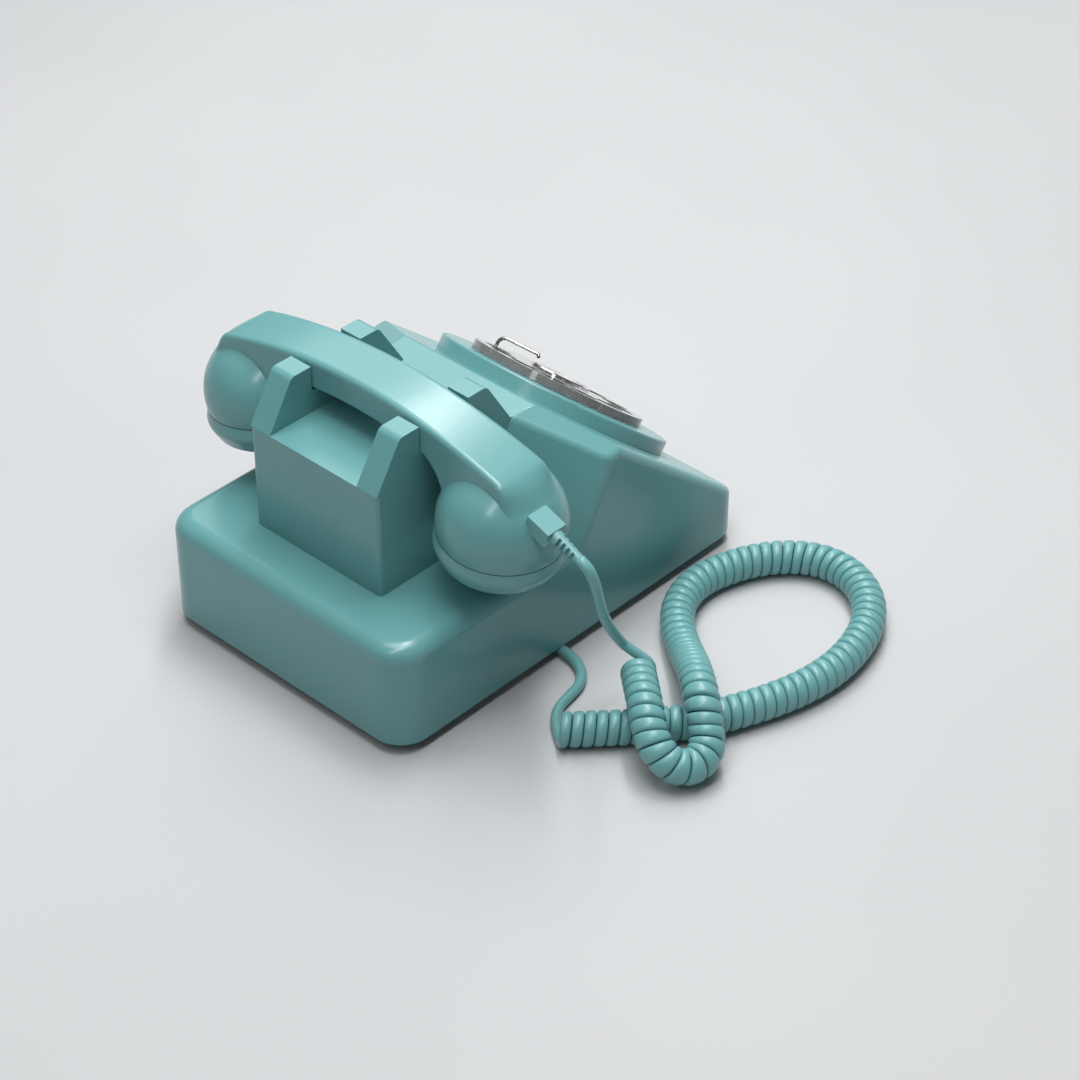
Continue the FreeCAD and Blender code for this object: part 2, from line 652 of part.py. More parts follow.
teeth = int(val("gear_teeth"))
pinion_count = int(val("pinion_teeth"))
module = val("gear_module")
governor_turn = math.radians(val("governor_angle"))
main_gear = toothed(teeth, module, val("shaft_radius + bearing_gap"), val(gear_low), val(gear_top),
                    governor_turn)
for quarter in range(5):
    window = cylinder(val("gear_module * gear_teeth / 10"), val(gear_low) - 1, val(gear_top) + 1,
                      val("gear_module * gear_teeth / 3.6"))
    window.rotate(Vector(), Vector(0, 0, 1), 72 * quarter)
    main_gear = main_gear.cut(window)
shaped("main_gear", main_gear).Placement = on_dial

governor_spot = at(val(governor_place[0][0]), val(governor_place[0][1]), 0)
governor_axis = on_dial.multiply(governor_spot)
pinion = toothed(pinion_count, module, val("governor_shaft / 2"), val(gear_low + " - gear_gap / 2"),
                 val(gear_top + " + gear_gap / 2"), governor_turn + math.pi + math.pi / pinion_count)
spindle = cylinder(val("governor_shaft"), val(bridge_low), -val("fit_gap"))
shaped("governor_pinion", pinion.fuse(spindle).removeSplitter()).Placement = governor_axis

drum = turned("governor_drum", [
    ("governor_shaft + bearing_gap", drum_top + " - drum_height"),
    ("drum_radius", drum_top + " - drum_height"),
    ("drum_radius", drum_top + " - 0.8"), ("drum_radius - 2", drum_top + " - 0.8"),
    ("drum_radius - 2", drum_top), ("governor_shaft + bearing_gap", drum_top)])
drum.Placement = governor_axis

bridge = new_body("dial_bridge")
bridge_plate = new_sketch(bridge, "XY_Plane", bridge_low)
circles(bridge_plate, [("0", "0")], "bridge_radius")
pad(bridge, bridge_plate, "bridge_thickness")
bridge_posts = new_sketch(bridge, "XY_Plane", bridge_low)
circles(bridge_posts, ring_points("post_circle", (45, 225, 315)), "post_radius")
pad(bridge, bridge_posts, "-frame_thickness - (%s)" % bridge_low)
bridge_holes = new_sketch(bridge, "XY_Plane", bridge_top)
circles(bridge_holes, [("0", "0")], "shaft_radius + bearing_gap")
circles(bridge_holes, governor_place, "governor_shaft + bearing_gap")
pocket(bridge, bridge_holes)
bridge.Placement = on_dial

contacts = new_body("dial_contacts")
contact_near = "gear_module * gear_teeth / 2 + gear_module * 2 + fit_gap * 4"
contact_block = new_sketch(contacts, "XY_Plane", "-frame_thickness - contact_height")
outline(contact_block, [(contact_near, "-contact_width / 2"),
                        (contact_near + " + contact_depth", "-contact_width / 2"),
                        (contact_near + " + contact_depth", "contact_width / 2"),
                        (contact_near, "contact_width / 2")])
pad(contacts, contact_block, "contact_height")
contact_slot = new_sketch(contacts, "XZ_Plane")
for level in (0.25, 0.5, 0.75):
    middle = "-frame_thickness - contact_height * %.2f" % level
    outline(contact_slot, [(contact_near, middle + " - 0.8"),
                           (contact_near + " + contact_depth * 0.6", middle + " - 0.8"),
                           (contact_near + " + contact_depth * 0.6", middle + " + 0.8"),
                           (contact_near, middle + " + 0.8")])
pocket(contacts, contact_slot)
contacts.Placement = on_dial


# Bent wire and cord: straight runs joined by tangent arcs
def bent_path(label, points, share=0.45):
    """The edges of a path through hand-chosen points, with each corner's arc as large as its runs allow."""
    edges = []
    radii = []
    start = points[0]
    for before, corner, after in zip(points, points[1:], points[2:]):
        come = corner - before
        go = after - corner
        tangent = share * min(come.Length, go.Length)
        turn = come.getAngle(go)
        radii.append(tangent / math.tan(turn / 2))
        come.normalize()
        go.normalize()
        first = corner - come * tangent
        last = corner + go * tangent
        bisector = go - come
        bisector.normalize()
        sagitta = radii[-1] / math.cos(turn / 2) - radii[-1]
        edges.append(Part.LineSegment(start, first).toShape())
        edges.append(Part.Arc(first, corner + bisector * sagitta, last).toShape())
        start = last
    edges.append(Part.LineSegment(start, points[-1]).toShape())
    print(label, "bend radii", [round(r, 1) for r in radii])
    return edges


def tube(label, edges, radius):
    """A round solid along a path, with its volume compared with its section times its length."""
    path = Part.Wire(edges)
    first = edges[0]
    ring = Part.Circle(first.valueAt(first.FirstParameter), first.tangentAt(first.FirstParameter), radius)
    sweep = Part.BRepOffsetAPI.MakePipeShell(path)
    sweep.add(Part.Wire([ring.toShape()]), False, False)
    sweep.build()
    sweep.makeSolid()
    solid = sweep.shape()
    ratio = solid.Volume / (math.pi * radius ** 2 * path.Length)
    print(label, "length %.1f, volume ratio %.5f" % (path.Length, ratio))
    if abs(ratio - 1) > 0.01:
        raise ValueError(label + " has the wrong volume")
    return solid


def arc_from(start, direction, end):
    """The arc that leaves a point in a direction and ends at another point."""
    chord = end - start
    inward = direction.cross(chord).cross(direction)
    inward.normalize()
    radius = chord.dot(chord) / (2 * chord.dot(inward))
    middle = start + inward * radius
    out = (start + end) * 0.5 - middle
    out.normalize()
    return Part.Arc(start, middle + out * radius, end)


def on_bezel(circle, angle, height):
    turn = math.radians(angle)
    return Vector(circle * math.cos(turn), circle * math.sin(turn), height)


stop_level = val(wheel_top + " + stop_clear + stop_radius")
stop_foot = val("stop_angle")
stop_end = val("stop_angle + stop_swing")
stop_points = [
    on_bezel(val("stop_circle"), stop_foot, val("bezel_height")),
    on_bezel(val("stop_circle"), stop_foot, stop_level),
    on_bezel(val("stop_tip"), stop_end, stop_level),
    on_bezel(val("stop_tip") - 1.5, stop_end, stop_level - 1.2)]
stop = shaped("finger_stop", tube("finger_stop", bent_path("finger_stop", stop_points), val("stop_radius")))
stop.Placement = on_dial

# Handset: a moulded handle with a ball at each end, and a screw cap under each ball
top_radius = (val("handle_shoulder") ** 2 + val("shoulder_drop") ** 2) / (2 * val("shoulder_drop"))
under_edge = tower_half
under_low = val("seat_height + fit_gap")
under_drop = val("handle_under") - under_low
under_radius = (under_edge ** 2 + under_drop ** 2) / (2 * under_drop)


def handle_side():
    """Half of the handle's side view below its top, from the middle to one end."""
    high = val("handle_top + 2 * handle_round")
    far = val("cup_reach + dome_radius")
    inner = Vector(val("cup_reach") - val("dome_radius") + 9, 0, val("dome_height"))
    throat = inner + Vector(0, 0, val("dome_radius") * 0.38)
    corner = Vector(under_edge, 0, under_low)
    crown = Vector(0, 0, val("handle_under"))
    half = under_edge / 2
    under_middle = Vector(half, 0,
                          val("handle_under") - under_radius + math.sqrt(under_radius ** 2 - half ** 2))
    hollow = (corner + throat) * 0.5 + Vector(1.9, 0, 1.7)
    outer = [crown, Vector(0, 0, high), Vector(far, 0, high), Vector(far, 0, val("dome_height")), inner,
             throat]
    lines = [Part.LineSegment(p, q).toShape() for p, q in zip(outer, outer[1:])]
    return lines + [Part.Arc(throat, hollow, corner).toShape(),
                    Part.Arc(corner, under_middle, crown).toShape()]


def crest_reach(turn):
    """Ball's middle to the handle's top at an angle from upright: the long curve, then the slanted end."""
    drop = val("dome_height - handle_top") + top_radius
    across = val("cup_reach") * math.sin(turn) + drop * math.cos(turn)
    curve = math.sqrt(across ** 2 - val("cup_reach") ** 2 - drop ** 2 + top_radius ** 2) - across
    past = turn - math.radians(val("end_turn"))
    near = min(max(past, -1.4), 0)
    slant = val("dome_radius - end_sink") / math.cos(near) - val("dome_radius") * 0.7 * max(past, 0) ** 2
    soft = val("end_soft")
    share = min(max(0.5 + 0.5 * (slant - curve) / soft, 0), 1)
    return slant + (curve - slant) * share - soft * share * (1 - share)


def crest_row(turn):
    """Points across the handle's top: flat over the long curve, as round as the ball at its end."""
    first, last = math.radians(val("crown_from")), math.radians(val("crown_full"))
    share = min(max((turn - first) / (last - first), 0), 1)
    share = share * share * (3 - 2 * share)
    wide = val("dome_radius")
    row = []
    for step in range(-6, 7):
        y = wide * 0.65 * step / 6
        reach = crest_reach(turn) - share * (wide - math.sqrt(wide ** 2 - y ** 2))
        row.append(Vector(val("cup_reach") + reach * math.sin(turn), y,
                          val("dome_height") + reach * math.cos(turn)))
    return row


def handle_top():
    """All that lies below the handle's top, from one end to the other."""
    first = math.atan2(-val("cup_reach"), val("handle_top - dome_height"))
    last = math.radians(val("end_turn") + 12)
    fine = [first + (last - first) * step / 600 for step in range(601)]
    spots = [Vector(math.sin(turn), math.cos(turn), 0) * crest_reach(turn) for turn in fine]
    run = [0.0]
    for p, q in zip(spots, spots[1:]):
        run.append(run[-1] + (q - p).Length)
    rows = []
    for step in range(29):
        after = max(1, sum(1 for length in run if length < run[-1] * step / 28 - 1e-9))
        share = (run[-1] * step / 28 - run[after - 1]) / (run[after] - run[after - 1])
        rows.append(crest_row(fine[after - 1] + (fine[after] - fine[after - 1]) * share))
    left = [[Vector(-p.x, p.y, p.z) for p in row] for row in reversed(rows[1:])]
    skin = Part.BSplineSurface()
    skin.interpolate(left + rows)
    return skin.toShape().extrude(Vector(0, 0, -3 * val("dome_radius")))


def on_cup(side):
    """The place of a cup: its ball's middle, leaning in."""
    return Placement(Vector(side * val("cup_reach"), 0, val("dome_height")),
                     Rotation(Vector(0, 1, 0), side * val("cup_tilt")))


def handle_form():
    """The handle, with its sides drawn in towards the top, and its two balls."""
    wide = val("dome_radius")
    half = Part.Face(Part.Wire(handle_side())).extrude(Vector(0, 2 * wide, 0))
    half.translate(Vector(0, -wide, 0))
    form = half.fuse(half.mirror(Vector(), Vector(1, 0, 0))).removeSplitter()
    rise = val("handle_top") - under_low
    lean = val("handle_bottom - handle_crown")
    for edge in (-1, 1):
        out = Vector(0, edge * rise, lean)
        out.normalize()
        form = below(form, Vector(0, edge * val("handle_crown"), val("handle_top")), out)
    form = form.common(handle_top())
    crest = max(form.Faces, key=lambda f: f.CenterOfMass.z)
    form = form.makeFillet(val("handle_round"), [e for e in crest.Edges if abs(e.CenterOfMass.y) > 1])
    for side in (-1, 1):
        ball = Part.makeSphere(wide).cut(block((-wide, -wide, -wide), (wide, wide, -val("seam_drop"))))
        ball.Placement = on_cup(side)
        form = form.fuse(ball)
    for side in (-1, 1):
        bore = cylinder(val("cup_bore"), -val("seam_drop + 1"), val("cup_depth - seam_drop"))
        bore.Placement = on_cup(side)
        form = form.cut(bore)
    return form


plug_turn = math.radians(val("plug_tilt"))
plug_out = Vector(-math.cos(plug_turn), 0, -math.sin(plug_turn))
plug_up = Vector(-math.sin(plug_turn), 0, math.cos(plug_turn))
plug_edge = Vector(-val("plug_reach"), val("plug_offset"), val("plug_height"))
plug_middle = plug_edge - plug_up * val("plug_thickness / 2")
plug_frame = Placement(plug_middle, Rotation(Vector(0, -1, 0), plug_up, plug_out, "ZXY"))


def plug_block(grow):
    """The plug's square block, from its inner end in the socket to its outer face."""
    half = val("plug_width / 2") + grow
    thick = val("plug_thickness / 2") + grow
    form = block((-half, -thick, -val("plug_length")), (half, thick, 0))
    form.Placement = plug_frame
    return form


handle = handle_form().removeSplitter().cut(plug_block(val("bearing_gap")))
shaped("handset_handle", handle).Placement = at(0, cradle_y, 0)


cap_low = "-seam_drop - cap_depth"
cap_floor = "cap_wall - seam_drop - cap_depth"


def screw_cap(label, rings):
    """A cup's cap: turned shell with a threaded neck, and rings of sound holes in its face."""
    cap = turned(label, [
        ("0", cap_low), ("cap_face", cap_low), ("cap_side", "-seam_drop - cap_swell"),
        ("cap_top", "-seam_drop"),
        ("cup_bore - fit_gap", "-seam_drop"), ("cup_bore - fit_gap", "neck_height - seam_drop"),
        ("cup_bore - fit_gap - neck_wall", "neck_height - seam_drop"),
        ("cup_bore - fit_gap - neck_wall", cap_floor), ("0", cap_floor)])
    rounded(cap, "cap_round * 2", lambda e: is_circle(e, val("cap_side"), val("-seam_drop - cap_swell")))
    rounded(cap, "cap_round", lambda e: is_circle(e, val("cap_face"), val(cap_low)))
    middle = new_sketch(cap, "XY_Plane", cap_floor)
    circles(middle, [("0", "0")], "sound_hole")
    pocket(cap, middle, "cap_wall")
    for share, count in rings:
        hole = new_sketch(cap, "XY_Plane", cap_floor)
        circles(hole, [("cap_face * %.2f" % share, "0")], "sound_hole")
        around(cap, pocket(cap, hole, "cap_wall"), str(count), "360")
    return cap


def capsule(label):
    inside = "cup_bore - 2 * fit_gap - neck_wall"
    return turned(label, [
        ("0", cap_floor + " + 1.2"), ("capsule_lip", cap_floor + " + 1.2"), ("capsule_lip", cap_floor),
        (inside, cap_floor), (inside, cap_floor + " + capsule_rise - 3"),
        ("capsule_lip * 0.6", cap_floor + " + capsule_rise"), ("0", cap_floor + " + capsule_rise")])


def in_cup(part, side):
    part.Placement = at(0, cradle_y, 0).multiply(on_cup(side))


in_cup(screw_cap("receiver_cap", [(0.35, 6)]), 1)
in_cup(screw_cap("transmitter_cap", [(0.28, 6), (0.56, 12)]), -1)
in_cup(capsule("receiver_capsule"), 1)
in_cup(capsule("transmitter_capsule"), -1)

# Plug: a square block in the end of the handle, with a slotted, tapering strain relief
relief_end = val("relief_length")
relief = Part.makeCone(val("relief_radius"), val("wire_radius"), relief_end)
for rib in range(4):
    level = relief_end * (0.22 + 0.18 * rib)
    wide = 2 * val("relief_radius")
    for near in (1.2, -1.2 - wide):
        relief = relief.cut(block((near, -wide, level), (near + wide, wide, level + val("relief_slot"))))
relief.Placement = plug_frame
plug = plug_block(0).fuse(relief)
shaped("cord_plug", plug.removeSplitter()).Placement = at(0, cradle_y, 0)

# Cord: one wire from the plug through the curls to the clamp under the plate
wire = val("wire_radius")
relief_tip = plug_middle + plug_out * relief_end + Vector(0, cradle_y, 0)

# The line that the curls wind round: off the lead, over the last strand, a tight turn back over it,
# a wide loop on the table and under the first two strands to the end.
coil_route = [
    Vector(-126.6, 17.6, 24.9), Vector(-135.0, 25.2, 26.4), Vector(-147.5, 36.0, 26.2),
    Vector(-159.5, 44.9, 18.5), Vector(-169.5, 44.0, 11.5), Vector(-175.9, 36.3, 9.4),
    Vector(-175.0, 26.3, 12.5), Vector(-169.5, 21.2, 18.5), Vector(-162.0, 15.5, 26.2),
    Vector(-151.5, 6.5, 26.4), Vector(-141.0, -3.0, 21.5), Vector(-131.0, -12.5, 14.5),
    Vector(-119.5, -21.8, 9.8), Vector(-108.0, -31.0, 8.4), Vector(-98.5, -41.5, 8.3),
    Vector(-93.2, -53.5, 8.3), Vector(-91.8, -66.5, 8.3), Vector(-95.2, -81.5, 8.3),
    Vector(-101.0, -95.0, 8.3), Vector(-110.0, -107.0, 8.3), Vector(-122.6, -115.3, 8.3),
    Vector(-137.0, -116.8, 8.3), Vector(-150.5, -112.2, 8.3), Vector(-162.0, -103.0, 8.3),
    Vector(-170.5, -89.5, 8.3), Vector(-175.4, -74.0, 8.3), Vector(-177.3, -58.5, 8.3),
    Vector(-176.2, -42.0, 8.3), Vector(-172.5, -26.5, 8.3), Vector(-167.0, -11.5, 8.3),
    Vector(-159.5, 5.0, 8.3), Vector(-148.5, 21.5, 8.3), Vector(-134.0, 38.0, 8.3),
    Vector(-116.5, 56.4, 8.3)]


def follow(edges, step):
    """Points, directions and curvatures at even steps along a path."""
    places = []
    for edge in edges:
        count = max(1, round(edge.Length / step))
        for i in range(count):
            spot = edge.getParameterByLength(edge.Length * i / count)
            places.append((edge.valueAt(spot), edge.tangentAt(spot), edge.curvatureAt(spot),
                           edge.Length / count))
    last = edges[-1]
    places.append((last.valueAt(last.LastParameter), last.tangentAt(last.LastParameter), 0.0, 0.0))
    return places


def biarc(start, start_way, end, end_way):
    """Two tangent arcs from one point and direction to another."""
    span = end - start
    a = 2 * (1 - start_way.dot(end_way))
    b = 2 * span.dot(start_way + end_way)
    reach = (-b + math.sqrt(b * b + 4 * a * span.dot(span))) / (2 * a)
    first = start + start_way * reach
    last = end - end_way * reach
    joint = (first + last) * 0.5
    way = last - first
    way.normalize()
    return [arc_from(start, start_way, joint), arc_from(joint, way, end)]


def curls(route):
    """A left-handed helix round the route: wider spaced in bends, so that no curls touch on the inside."""
    radius = val("curl_radius")
    pitch = 2 * wire + val("curl_gap")
    places = follow(bent_path("coil line", route), 0.25)
    phases = [0.0]
    overs = [Vector(0, 0, 1)]
    for _, along, bend, step in places:
        phases.append(phases[-1] + 2 * math.pi * step * (1 - radius * bend) / pitch)
        over = overs[-1] - along * along.dot(overs[-1])
        over.normalize()
        overs.append(over)
    phases.pop()
    overs.pop(0)
    start = math.radians(val("curl_start"))
    last_side = overs[-1].cross(places[-1][1])
    end = math.atan2(-last_side.z, -overs[-1].z)
    turns = math.floor((phases[-1] + start - end) / (2 * math.pi))
    total = 2 * math.pi * turns + end - start
    scale = total / phases[-1]

    def on_wire(phase):
        """The wire's middle at a phase past the start."""
        low, high = 0, len(phases) - 1
        while high - low > 1:
            mid = (low + high) // 2
            low, high = (mid, high) if phases[mid] * scale <= phase else (low, mid)
        share = (phase / scale - phases[low]) / (phases[high] - phases[low])
        point = places[low][0] * (1 - share) + places[high][0] * share
        along = places[low][1] * (1 - share) + places[high][1] * share
        along.normalize()
        over = overs[low] * (1 - share) + overs[high] * share
        over = over - along * along.dot(over)
        over.normalize()
        side = over.cross(along)
        return point + (over * math.cos(start + phase) + side * math.sin(start + phase)) * radius

    def way(phase):
        ahead = min(total, phase + 0.01)
        behind = max(0.0, phase - 0.01)
        direction = on_wire(ahead) - on_wire(behind)
        direction.normalize()
        return direction

    spans = round(total / math.pi)
    edges = []
    for i in range(spans):
        a = total * i / spans
        b = total * (i + 1) / spans
        edges += [arc.toShape() for arc in biarc(on_wire(a), way(a), on_wire(b), way(b))]
    print("curls", turns, "tightest wire bend %.2f" % min(edge.Curve.Radius for edge in edges))
    first = on_wire(0) - way(0) * 2 * wire
    last = on_wire(total) + way(total) * 2 * wire
    edges.insert(0, Part.LineSegment(first, on_wire(0)).toShape())
    edges.append(Part.LineSegment(on_wire(total), last).toShape())
    return edges, first, way(0), last, way(total)


def least_gap(edges, thickness):
    """The least gap of a wire to itself, measured on points along it."""
    points = [place[0] for place in follow(edges, 0.7)]
    cell = 2 * thickness
    boxes = {}
    for i, p in enumerate(points):
        boxes.setdefault((int(p.x // cell), int(p.y // cell), int(p.z // cell)), []).append(i)
    apart = round(3 * thickness / 0.7)
    least = cell
    for (x, y, z), members in boxes.items():
        near = [j for dx in (-1, 0, 1) for dy in (-1, 0, 1) for dz in (-1, 0, 1)
                for j in boxes.get((x + dx, y + dy, z + dz), [])]
        for i in members:
            for j in near:
                if j - i > apart:
                    least = min(least, points[i].distanceToPoint(points[j]))
    return least - thickness


coil_edges, coil_in, coil_in_way, coil_out, coil_out_way = curls(coil_route)
print("coil from", coil_in, "to", coil_out, coil_in_way, coil_out_way)
print("least gap between curls %.2f" % least_gap(coil_edges, 2 * wire))
shaped("cord_coil", tube("cord_coil", coil_edges, wire))

handset_lead = [
    relief_tip, relief_tip + plug_out * 4.2, Vector(-128.1, 50.4, 96.5), Vector(-128.5, 47.9, 89.1),
    Vector(-126.1, 43.3, 77.6), Vector(-122.2, 35.6, 62.1), Vector(-119.8, 27.2, 48.3),
    Vector(-119.6, 20.9, 38.1),
    coil_in - coil_in_way * 2 * wire, coil_in]
shaped("cord_handset_lead", tube("cord_handset_lead", bent_path("cord_handset_lead", handset_lead), wire))

clamp_face = Vector(-66.5, 10.9, 3.1)
base_lead = [
    coil_out, coil_out + coil_out_way * 3.5 * wire, Vector(-101.2, 41.2, 2.8), Vector(-99.6, 32.5, 2.8),
    Vector(-98.0, 24.0, 2.8), Vector(-93.4, 16.8, 2.8), Vector(-85.6, 12.2, 2.9), Vector(-76.0, 10.9, 3.1),
    clamp_face]
shaped("cord_base_lead", tube("cord_base_lead", bent_path("cord_base_lead", base_lead), wire))

clamp_half = val("clamp_width / 2")
clamp = block((clamp_face.x, clamp_face.y - clamp_half, wire / 4),
              (clamp_face.x + val("clamp_length"), clamp_face.y + clamp_half, plate_low))
clamp_edges = [e for e in clamp.Edges if abs(e.CenterOfMass.z - wire / 4) < 1e-4
               and abs(e.tangentAt(0).x) > 0.9]
shaped("cord_clamp", clamp.makeFillet(wire, clamp_edges))

# Ringer: two gongs on posts, two coils, and a pivoted armature with the clapper
gong_x = val("gong_spacing / 2")
gong_y = val("body_depth / 2 - wall - gong_clear - gong_radius")
gong_low = plate_top + val("gong_rise")
post_hole = "screw_radius"


def gong(label, side):
    cup = turned(label, [
        (post_hole + " + bearing_gap", "gong_height - gong_wall"),
        ("gong_radius - gong_wall", "gong_height - gong_wall"),
        ("gong_radius - gong_wall", "0"), ("gong_radius", "0"), ("gong_radius", "gong_height"),
        (post_hole + " + bearing_gap", "gong_height")])
    rounded(cup, "gong_round", lambda e: is_circle(e, val("gong_radius"), val("gong_height")))
    rounded(cup, "gong_round - gong_wall",
            lambda e: is_circle(e, val("gong_radius - gong_wall"), val("gong_height - gong_wall")))
    cup.Placement = at(side * gong_x, gong_y, gong_low)


gong("gong_left", -1)
gong("gong_right", 1)
gong_seat = gong_low + val("gong_height - gong_wall")
gong_screw = turned("gong_screw_form", [
    ("0", "-screw_depth / 2"), ("screw_radius - bearing_gap", "-screw_depth / 2"),
    ("screw_radius - bearing_gap", "gong_wall"),
    ("screw_head", "gong_wall"), ("screw_head", "gong_wall + head_height / 2"),
    ("screw_head * 0.7", "gong_wall + head_height"),
    ("0", "gong_wall + head_height")])
copies("gong_screws", gong_screw, [at(side * gong_x, gong_y, gong_seat) for side in (-1, 1)])

strap_top = plate_top + val("ringer_strap")
coil_axis = plate_top + val("coil_rise")
pivot_y = gong_y - val("gong_radius") - val("pivot_hub")
armature_front = pivot_y - val("armature_thickness / 2")
core_tip = armature_front - val("armature_gap")
spool_rear = core_tip - val("core_proud")
spool_front = spool_rear - val("coil_length")
yoke_front = spool_front - val("ringer_strap")
frame_half = val("coil_spacing / 2 + coil_flange")
strap = block((-frame_half, yoke_front, plate_top), (frame_half, gong_y, strap_top))
cheek = block((-frame_half, yoke_front, strap_top), (frame_half, spool_front, coil_axis + val("coil_flange")))
arm = block((-gong_x, gong_y - 2 * val("pivot_hub"), plate_top), (gong_x, gong_y, strap_top))
pivot = cylinder(val("pivot_radius"), strap_top, coil_axis + val("armature_height"), 0, pivot_y)
posts = [cylinder(2 * val("screw_radius"), plate_top, gong_seat, side * gong_x, gong_y)
         .cut(cylinder(val("screw_radius"), gong_seat - val("screw_depth / 2 + fit_gap"), gong_seat,
                       side * gong_x, gong_y))
         for side in (-1, 1)]
shaped("ringer_frame", strap.multiFuse([cheek, arm, pivot] + posts).removeSplitter())

spool = turned("coil_form", [
    ("0", "0"), ("coil_flange", "0"), ("coil_flange", "1.2"), ("coil_radius", "1.2"),
    ("coil_radius", "coil_length - 1.2"), ("coil_flange", "coil_length - 1.2"),
    ("coil_flange", "coil_length"),
    ("core_radius", "coil_length"), ("core_radius", "coil_length + core_proud"),
    ("0", "coil_length + core_proud")])
rearward = Rotation(Vector(0, 0, 1), Vector(0, 1, 0))
copies("ringer_coils", spool, [Placement(Vector(side * val("coil_spacing / 2"), spool_front, coil_axis),
                                         rearward)
                               for side in (-1, 1)])

hub_low = strap_top + val("fit_gap")
hub_high = coil_axis + val("armature_height / 2")
bar = block((-val("armature_length / 2"), armature_front, coil_axis - val("armature_height / 2")),
            (val("armature_length / 2"), armature_front + val("armature_thickness"), hub_high))
hub = cylinder(val("pivot_hub"), hub_low, hub_high, 0, pivot_y)
pivot_bore = cylinder(val("pivot_radius + bearing_gap"), hub_low - 1, hub_high + 1, 0, pivot_y)
shaped("ringer_armature", bar.fuse(hub).removeSplitter().cut(pivot_bore))

clapper_z = gong_low + val("clapper_ball")
rod_start = pivot_y + val("pivot_hub") - 0.4
rod = Part.makeCylinder(val("clapper_rod"), gong_y - rod_start, Vector(0, rod_start, clapper_z),
                        Vector(0, 1, 0))
rod = rod.cut(cylinder(val("pivot_hub"), hub_low, clapper_z + val("pivot_hub"), 0, pivot_y))
ball = Part.makeSphere(val("clapper_ball"), Vector(0, gong_y, clapper_z))
shaped("clapper", rod.fuse(ball).removeSplitter())

# Hook switch: two plungers through the saddles, a yoke between them, a spring and contact leaves
plunger_reach = saddle_x + val("plunger_radius")
plunger_top = (val("handle_under") - under_radius + math.sqrt(under_radius ** 2 - plunger_reach ** 2)
               - val("fit_gap"))
yoke_high = val("tower_top - wall - yoke_clear")
yoke_low = yoke_high - val("yoke_thickness")
shaped("hook_plungers", Part.makeCompound([
    cylinder(val("plunger_radius"), yoke_high, plunger_top, side * saddle_x, cradle_y) for side in (-1, 1)]))
yoke_reach = saddle_x + val("plunger_radius / 2")
yoke_half = val("yoke_width / 2")
spring_seat = cylinder(val("spring_radius - 2 * spring_wire"), yoke_low - 2, yoke_low, 0, cradle_y)
yoke = block((-yoke_reach, cradle_y - yoke_half, yoke_low), (yoke_reach, cradle_y + yoke_half, yoke_high))
shaped("plunger_yoke", yoke.fuse(spring_seat).removeSplitter())

roof = val("tower_top - wall")
floor_top = yoke_low - val("hook_room")
floor_low = floor_top - val("hook_sheet")
cheek_near = val("hook_inside / 2")
cheek_far = val("hook_inside / 2 + hook_sheet")
hook_half = val("hook_length / 2")
channel = block((-hook_half, cradle_y - cheek_far, floor_low), (hook_half, cradle_y + cheek_far, roof))
channel = channel.cut(block((-hook_half, cradle_y - cheek_near, floor_top),
                            (hook_half, cradle_y + cheek_near, roof)))
guide = cylinder(val("spring_radius - 2 * spring_wire"), floor_top, (floor_top + yoke_low) / 2, 0, cradle_y)
shaped("hookswitch_bracket", channel.fuse(guide).removeSplitter())

stack_far = hook_half - val("fit_gap")
stack_near = stack_far - val("leaf_reach / 2")
leaf_half = val("yoke_width / 2")
stack = block((stack_near, cradle_y - leaf_half, floor_top), (stack_far, cradle_y + leaf_half, yoke_low - 2))
leaves = [block((stack_far - val("leaf_reach"), cradle_y - leaf_half + 1, level),
                (stack_far, cradle_y + leaf_half - 1, level + val("leaf_thickness")))
          for level in (floor_top + val("hook_room") * 0.31, floor_top + val("hook_room") * 0.54)]
shaped("hookswitch_contacts", stack.multiFuse(leaves).removeSplitter())


def spring_edges():
    """A right-handed spring between the bracket's floor and the yoke."""
    radius = val("spring_radius")
    low = floor_top + val("spring_wire + fit_gap")
    rise = (yoke_low - val("spring_wire + fit_gap") - low) / (2 * math.pi * val("spring_turns"))
    spans = int(2 * val("spring_turns"))

    def on_spring(turn):
        return Vector(radius * math.cos(turn), cradle_y + radius * math.sin(turn), low + rise * turn)

    def way(turn):
        direction = Vector(-radius * math.sin(turn), radius * math.cos(turn), rise)
        direction.normalize()
        return direction

    edges = []
    for i in range(spans):
        a, b = math.pi * i, math.pi * (i + 1)
        edges += [arc.toShape() for arc in biarc(on_spring(a), way(a), on_spring(b), way(b))]
    return edges


shaped("hookswitch_spring", tube("hookswitch_spring", spring_edges(), val("spring_wire")))

# Network: the speech circuit in a potted block, with screw terminals on its top
net_x, net_y = val("network_x"), val("network_y")
net_half_x, net_half_y = val("network_width / 2"), val("network_depth / 2")
net_top = plate_top + val("network_height")
network = block((net_x - net_half_x, net_y - net_half_y, plate_top),
                (net_x + net_half_x, net_y + net_half_y, net_top))
shaped("network_block", upright(network, 2))
terminal = turned("terminal_form", [
    ("0", "0"), ("terminal_radius", "0"), ("terminal_radius", "terminal_rise - 0.5"),
    ("terminal_radius - 0.5", "terminal_rise"), ("0", "terminal_rise")])
terminal_spots = [at(net_x + col * net_half_x * 0.55, net_y + row * net_half_y * 0.6, net_top)
                  for col in (-1, 1) for row in (-1, 0, 1)]
copies("terminal_screws", terminal, terminal_spots)

